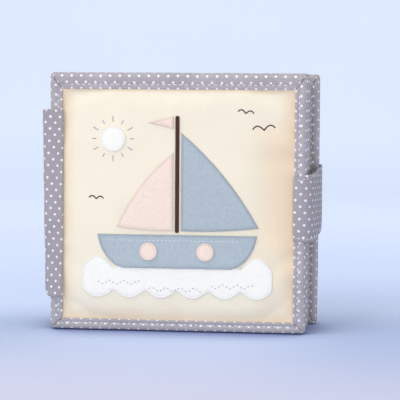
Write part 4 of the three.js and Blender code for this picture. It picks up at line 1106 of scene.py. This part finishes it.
def make_strip(name, nodes, route, low, high, thick, edges=None, puff=0.25 * MM, seed=1.0, folds=(1, 1),
               step=1.6 * MM, lean=0.0, warp=None, before=0.0, rests=None, bend=None):
    """A strip along plan points (x, y, mm) of its middle.

    edges gives how far its low and its high edge rise at a place, folds the ends at which it is rounded,
    lean the climb of its dots and before the length of cloth ahead of it. If bend is given, the piece's
    placing is baked into its mesh; the bodies and places in bend are not used.
    """
    line = spaced(curved(np.asarray(route) * MM, 10), step)
    ahead = unit(np.gradient(line, axis=0))
    out = np.stack([ahead[:, 1], -ahead[:, 0]], 1)
    run = run_along(line)
    length = run[-1]
    ends = STRIP_ROUND * np.append(ROUND_STOPS, 0.85)
    stops = np.unique(np.concatenate([
        ends if folds[0] else [0], run[(run > STRIP_ROUND) & (run < length - STRIP_ROUND)],
        length - ends if folds[1] else [length],
    ]))
    near_edge = STRIP_ROUND * np.append(ROUND_STOPS, 1.0)
    rows, cloth = [], []
    for s in stops:
        centre, normal = look_up(s, run, line), look_up(s, run, out)
        low_rise, high_rise = edges(centre) if edges else (0.0, 0.0)
        foot = low + low_rise + STRIP_WAVE * ripple(s, 0.0, seed, 16 * MM)
        head = high + high_rise + STRIP_WAVE * ripple(s, 1.0, seed + 4, 16 * MM)
        slim = (rounding(s) if folds[0] else 1.0) * (rounding(length - s) if folds[1] else 1.0)
        between = np.linspace(foot + 2 * STRIP_ROUND, head - 2 * STRIP_ROUND, int((high - low) / (2.6 * MM)))
        heights = np.concatenate([foot + near_edge, between, head - near_edge[::-1]])
        row, places = [], []
        for side, order in ((1, heights), (-1, heights[::-1])):
            for z in order:
                inner = min(z - foot, head - z)
                offset = side * thick / 2 * slim * rounding(inner)
                offset += puff * ripple(s, z, seed + 8, 13 * MM) * min(1.0, inner / (8 * MM) + 0.35)
                if side == 1:
                    offset -= SEAM_DEPTH * math.exp(-((inner - SEAM_IN) / SEAM_SPREAD) ** 2)
                xy = centre + normal * offset
                row.append((*(warp(xy, z) if warp else xy), z))
                places.append((before + s + lean * (z - low), z - lean * (before + s)))
        rows.append(row)
        cloth.append(places)
    builder = Builder()
    builder.grid(rows, cloth, around=True)
    # the strips take the darker, painted-shade copy of the dotted cloth
    piece = builder.piece(name, [DOTTED_SHADED_COPY])
    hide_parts(*nodes)
    if bend:
        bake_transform(piece)
    return piece, line, out, run


SPINE_LOW, SPINE_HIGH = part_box("spine_middle")[0].z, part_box("spine_middle")[1].z
SPINE_FRONT = [
    (-91.5, -26.1), (-93.0, -26.35), (-96.4, -26.45), (-99.5, -26.5), (-102.2, -26.4), (-104.3, -25.95),
    (-106.0, -25.05), (-107.4, -23.5), (-108.15, -21.2), (-108.38, -18.9), (-108.2, -16.9), (-107.8, -14.6),
    (-107.3, -12.2), (-106.8, -9.6), (-105.9, -7.8), (-104.6, -6.1), (-103.3, -4.2), (-102.2, -2.3),
    (-101.45, -1.0), (-101.08, 0.03),
]
SPINE_BACK = [
    (-101.07, 0.07), (-100.75, 1.6), (-100.55, 4.0), (-100.45, 7.0), (-100.3, 9.4), (-99.4, 11.3), (-98.2, 13.1),
    (-97.1, 15.4), (-96.4, 18.0), (-95.8, 20.4), (-95.0, 22.5), (-94.1, 24.3), (-92.9, 25.7), (-91.2, 26.3),
    (-88.0, 26.45), (-84.6, 26.4), (-81.5, 26.2),
]


def spine_edges(centre):
    """The strip's low corner is rounded where it bulges past the front leaf."""
    past = clamp((-103.6 * MM - centre[0]) / (4.4 * MM))
    inner = clamp((-6 * MM - centre[1]) / (8 * MM))
    return 6.0 * MM * (1 - math.sqrt(1 - past ** 2)) * inner, 0.0


def spine_taper(xy, z):
    """The strip is a little narrower, and bulges less, towards its foot."""
    rise = (z - SPINE_LOW) / (SPINE_HIGH - SPINE_LOW)
    share = clamp((-xy[1] - 4 * MM) / (10 * MM))
    away = xy[0] + 98.5 * MM
    factor = 0.80 + 0.08 * rise if away > 0 else 0.86 + 0.2 * rise
    return xy[0] + share * away * (factor - 1), xy[1]


SPINE = {"low": SPINE_LOW, "high": SPINE_HIGH, "thick": 1.6 * MM, "lean": 0.06}
*_, spine_run = make_strip(
    "spine_front_strip", ["spine_front_lap", "spine_middle"], SPINE_FRONT, **SPINE, edges=spine_edges,
    puff=0.4 * MM, folds=(1, 0), warp=spine_taper, rests=["front_tape"],
    bend=(("middle_leaf", "front_leaf"), (-0.1096, -0.0068, 0.099), (-0.1096, -0.0121, 0.099)))
make_strip(
    "spine_back_strip", ["spine_back_lap"], SPINE_BACK, **SPINE, seed=3.0, folds=(0, 1),
    before=float(spine_run[-1]), rests=["back_tape"],
    bend=(("back_leaf", "middle_leaf"), (-0.1096, 0.0165, 0.099), (-0.1096, 0.0026, 0.099)))

# Closure

CLOSURE_LOW, CLOSURE_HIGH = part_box("closure_side")[0].z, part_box("closure_side")[1].z
CLOSURE_FRONT = [
    (85.99, -26.05), (87.5, -26.3), (90.0, -26.5), (92.5, -26.45), (94.8, -26.0), (97.0, -24.9), (98.8, -23.0),
    (100.2, -20.4), (101.2, -17.6), (102.0, -14.6), (102.9, -10.9), (103.7, -7.2), (104.5, -3.5), (105.27, -0.03),
]
CLOSURE_BACK = [
    (105.29, 0.03), (106.2, 3.5), (107.0, 7.0), (107.55, 9.8), (108.05, 13.4), (108.3, 18.4), (108.36, 23.4),
    (108.1, 26.4), (107.0, 28.2), (104.6, 28.8), (100.0, 28.85), (90.0, 28.78), (78.0, 28.75), (69.0, 28.75),
    (67.2, 28.7),
]


def closure_edges(centre):
    """The strap climbs towards the back. Its high edge rises from the sewn end to the corner.

    Its low corner is rounded where it turns to the back, and its sewn end is a little narrower.
    """
    x, y = centre / MM
    climb = 4.2 * MM * soft_step(clamp((y + 24) / 38))
    turned = clamp((y - 2) / 14) * clamp((29 - y) / 11)
    sewn = clamp((104 - x) / 16) if y < 0 else 0.0
    return climb + 3.0 * MM * turned ** 2 + 1.6 * MM * sewn, climb + 2.4 * MM * soft_step(clamp((x - 88) / 14))


CLOSURE = {
    "low": CLOSURE_LOW, "high": CLOSURE_HIGH, "thick": 1.6 * MM, "edges": closure_edges, "step": 1.3 * MM,
    "lean": -0.045,
}
FOLD = (("front_leaf", "closure_strap"), (0.0968, -0.0262, 0.0965), (0.0986, -0.0242, 0.0965))
PEEL = (("closure_strap", "closure_end"), (0.1088, 0.0262, 0.0965), (0.1068, 0.0286, 0.0965))
closure_front = make_strip("closure_front_strip", ["closure_lap"], CLOSURE_FRONT, **CLOSURE, seed=5.0, folds=(1, 0),
                           rests=["front_tape"], bend=FOLD)
closure_back = make_strip("closure_back_strip", ["closure_side", "closure_flap"], CLOSURE_BACK, **CLOSURE, seed=6.0,
                          folds=(0, 1), before=float(closure_front[3][-1]), rests=["hook_patch_cloth"], bend=PEEL)


def strip_seams(name, strip, ends):
    """White running stitches along the closure's low and high edge, up to a distance from its ends."""
    piece, line, out, run = strip
    sewing, surface = Builder(), surface_of(piece)
    stops = np.linspace(ends[0] * MM, run[-1] - ends[1] * MM, 200)
    normals = [(*n, 0) for n in look_up(stops, run, out)]
    for which, z in enumerate((CLOSURE_LOW + SEAM_IN, CLOSURE_HIGH - SEAM_IN)):
        points = []
        for p, n in zip(look_up(stops, run, line), normals):
            begin = Vector((*p, z + closure_edges(p)[which])) + 4 * MM * Vector(n)
            points.append(surface.ray_cast(begin, -Vector(n))[0])
        stitches(sewing, points, normals, STITCH_PITCH * 0.8, 0.66, 0.28 * MM)
    made = sewing.piece(name, [WHITE_THREAD])
    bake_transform(made)


strip_seams("closure_front_seams", closure_front, (2.5, 0.8))
strip_seams("closure_back_seams", closure_back, (0.8, 2.5))
make_flat("loop_patch", "back_cover", LOOPS, thick=0.8 * MM, rests=["back_pad"])
make_flat("hook_patch", "back_cover", HOOKS, body="closure_end", thick=0.8 * MM, rests=["closure_back_strip"])

# Rainbow and bead ribbons on page 5

ribbons = []
for number in (1, 2, 3):
    low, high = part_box(f"bead_ribbon_{number}")
    near, far = low.y / MM + 0.3, high.y / MM - 0.3
    middle, half = LEAF_MIDDLE["back"].x / MM, (high.x - low.x) / 2 / MM
    dip = [(0.0, far), (4.0, far), (8.0, far - 0.1), (11.5, (far + near) / 2 + 0.5), (16.5, near + 0.1), (22.0, near)]
    route = [(middle - half + x, y) for x, y in dip] + [(middle + half - x, y) for x, y in reversed(dip)]
    ribbon, *_ = make_strip(f"bead_ribbon_{number}_strip", [f"bead_ribbon_{number}"], route, low.z, high.z, 0.6 * MM,
                            puff=0.05 * MM, seed=10.0 + number)
    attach(ribbon, "back_leaf")
    ribbons.append(ribbon)
arch_sewing = Builder()
for number, (cloth, extra) in enumerate(((BLUE_FELT, ribbons), (PINK_FELT, []), (WHITE_FELT, []))):
    sewn_flat(arch_sewing, number, f"felt_arch_{number + 1}", "page_5", cloth, rests=["back_pad"], with_pieces=extra)
arch_sewing.sewn("arch_stitches", [BLUE_THREAD, ROSE_THREAD, PALE_THREAD], "blue_felt", "back_leaf")

# CAD nodes that stay, with finishes of their own

ZIP_MIDDLE = (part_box("zip_row_lower")[1].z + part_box("zip_row_upper")[0].z) / 2
ZIP_ROWS = zip_cloth("zip_rows", (150, 168, 188), (196, 207, 219), ZIP_MIDDLE, 4.25 * MM)
KEPT = {
    "clock_button": BUTTON, "flower_button": BUTTON, "zip_slider": ZIP_PLASTIC, "zip_pull": ZIP_PLASTIC,
    "zip_row_lower": ZIP_ROWS, "zip_row_upper": ZIP_ROWS, "bead_1": BEECH, "bead_2": BEECH, "bead_3": BEECH,
}
for node, material in KEPT.items():
    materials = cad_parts[node].data.materials
    for place in range(len(materials)):
        materials[place] = material

# Threads through the buttons' holes, two pairs that cross

THREAD_LIFT = np.array([-0.5, 0.05, 0.22, 0.28, 0.22, 0.05, -0.5]) * MM
for node, page, body in (("clock_button", "page_2", "front_leaf"), ("flower_button", "page_4", "middle_leaf")):
    face = max(to_page(page, [tuple(corner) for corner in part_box(node)])[:, 2]) - 0.6 * MM
    threads = Builder()
    for turn in (1, -1):
        start, end = np.array([(-2.0, -2.0 * turn), (2.0, 2.0 * turn)]) * MM + middle_of(node, page)[:2]
        lift = face + THREAD_LIFT + (0.12 * MM if turn > 0 else 0)
        for shift in (-0.22, 0.22):
            path = np.array([start * (1 - t) + end * t for t in np.linspace(0, 1, len(lift))])
            path += np.array([-turn, 1]) * shift * MM * 0.7
            tube(threads, to_frame(page, np.column_stack([path, lift])), outward(page), 0.24 * MM, sides=6)
    threads.sewn(f"{node}_thread", [BLUE_THREAD], "button_plastic", body)

# Studio: a pale sweep, lit a little more far behind by a wash lamp and with a painted glow that only the camera sees,
# also just behind the book, where it lightens the book's shadow; a soft key from the upper left, fill from the room

SWEEP_REACH, SWEEP_TOP = 3.0, 3.4
SWEEP_BEND, SWEEP_ROUND = 1.2, (1.8, 1.0)  # where the floor starts to rise, and how far back and up it turns
# how far the floor's painted contact shadow reaches
CONTACT_SHADE_REACH = 0.05


def make_sweep():
    (deep, tall), turns = SWEEP_ROUND, np.linspace(0.1, math.pi / 2, 14)
    profile = [(-SWEEP_REACH, 0.0), (0.0, 0.0), (SWEEP_BEND, 0.0), *(
        (SWEEP_BEND + deep * math.sin(a), tall - math.cos(a) * tall) for a in turns), (SWEEP_REACH, SWEEP_TOP)]
    builder = Builder()
    builder.grid([[(x, y, z - 0.0002) for y, z in profile] for x in np.linspace(-SWEEP_REACH, SWEEP_REACH, 5)])
    s = Shader("sweep", 0.9, specular=0.2)
    x, y, _ = s.split(s.place())
    ground = s.mix(s.ramp(y, -0.25, 0.0), rgba((210, 212, 234)), rgba((192, 207, 238)))
    # painted shadow: the floor is darker blue right of the book, where its shadow falls
    painted_shadow_beside = s.times(s.ramp(x, 0.02, 0.14), s.ramp(y, -0.22, -0.06))
    ground = s.mix(s.times(painted_shadow_beside, 0.4), ground, rgba((176, 190, 228)))
    ground = s.mix(s.ramp(y, 0.12, 0.8), ground, rgba((205, 219, 242)))
    # painted contact shadow: the floor turns blue-grey where the ambient occlusion node finds something close
    contact_shade_ao = s.node("AmbientOcclusion", {"Distance": CONTACT_SHADE_REACH}, samples=8)["AO"]
    ground = s.mix(s.ramp(contact_shade_ao, 0.42, 0.85), rgba((130, 142, 192)), ground)
    # painted light: the sweep glows for camera rays alone, just behind the book, where it lightens the book's shadow,
    # and more towards the far wall
    painted_glow = 0.0
    for low, high, more in ((-0.03, 0.09, 0.2), (0.1, 0.28, 0.05), (0.1, 1.0, 0.135), (0.9, 2.1, 0.14)):
        painted_glow = s.math("ADD", painted_glow, s.ramp(y, low, high, 0.0, more))
    s.put(s.surface["Emission Color"], rgba((227, 232, 243)))
    s.put(s.surface["Emission Strength"], s.times(s.node("LightPath")["Is Camera Ray"], painted_glow))
    builder.piece("sweep", [s.finish(s.vary(ground, (s.noise(3, 2), 0.01)))])


make_sweep()
LAMPS = (  # name, place, aim, size, power, colour
    ("key", (-0.95, -0.74, 1.36), (0, 0, 0.1), (1.1, 1.1), 13.2, (1.0, 0.98, 0.95)),
    ("fill", (0.9, -1.2, 0.5), (0, 0, 0.1), (1.2, 1.0), 2.0, (0.99, 0.98, 1.0)),
    ("low_fill", (0.0, -1.3, 0.12), (0, 0, 0.05), (1.6, 0.4), 7.0, (1.0, 0.98, 0.96)),
    ("rim", (0.95, 0.3, 0.85), (0.1, 0, 0.1), (0.5, 0.7), 1.6, (1, 1, 1)),
    ("backdrop_wash", (0.0, -0.2, 2.0), (0, 0.8, 0.5), (2.4, 0.8), 9, (1, 1, 1)),
)
for name, at, toward, size, power, colour in LAMPS:
    data = bpy.data.lights.new(name, "AREA")
    data.shape, data.energy, data.color = "RECTANGLE", power, colour
    data.size, data.size_y = size
    light = add_object(name, data)
    light.location = at
    light.rotation_euler = (Vector(toward) - Vector(at)).to_track_quat("-Z", "Y").to_euler()
world = bpy.data.worlds.new("room")
world.use_nodes = True
world.node_tree.nodes["Background"].inputs["Color"].default_value = (0.95, 0.965, 1.0, 1)
world.node_tree.nodes["Background"].inputs["Strength"].default_value = 0.445
bpy.context.scene.world = world
bpy.context.scene.view_settings.view_transform = "Standard"
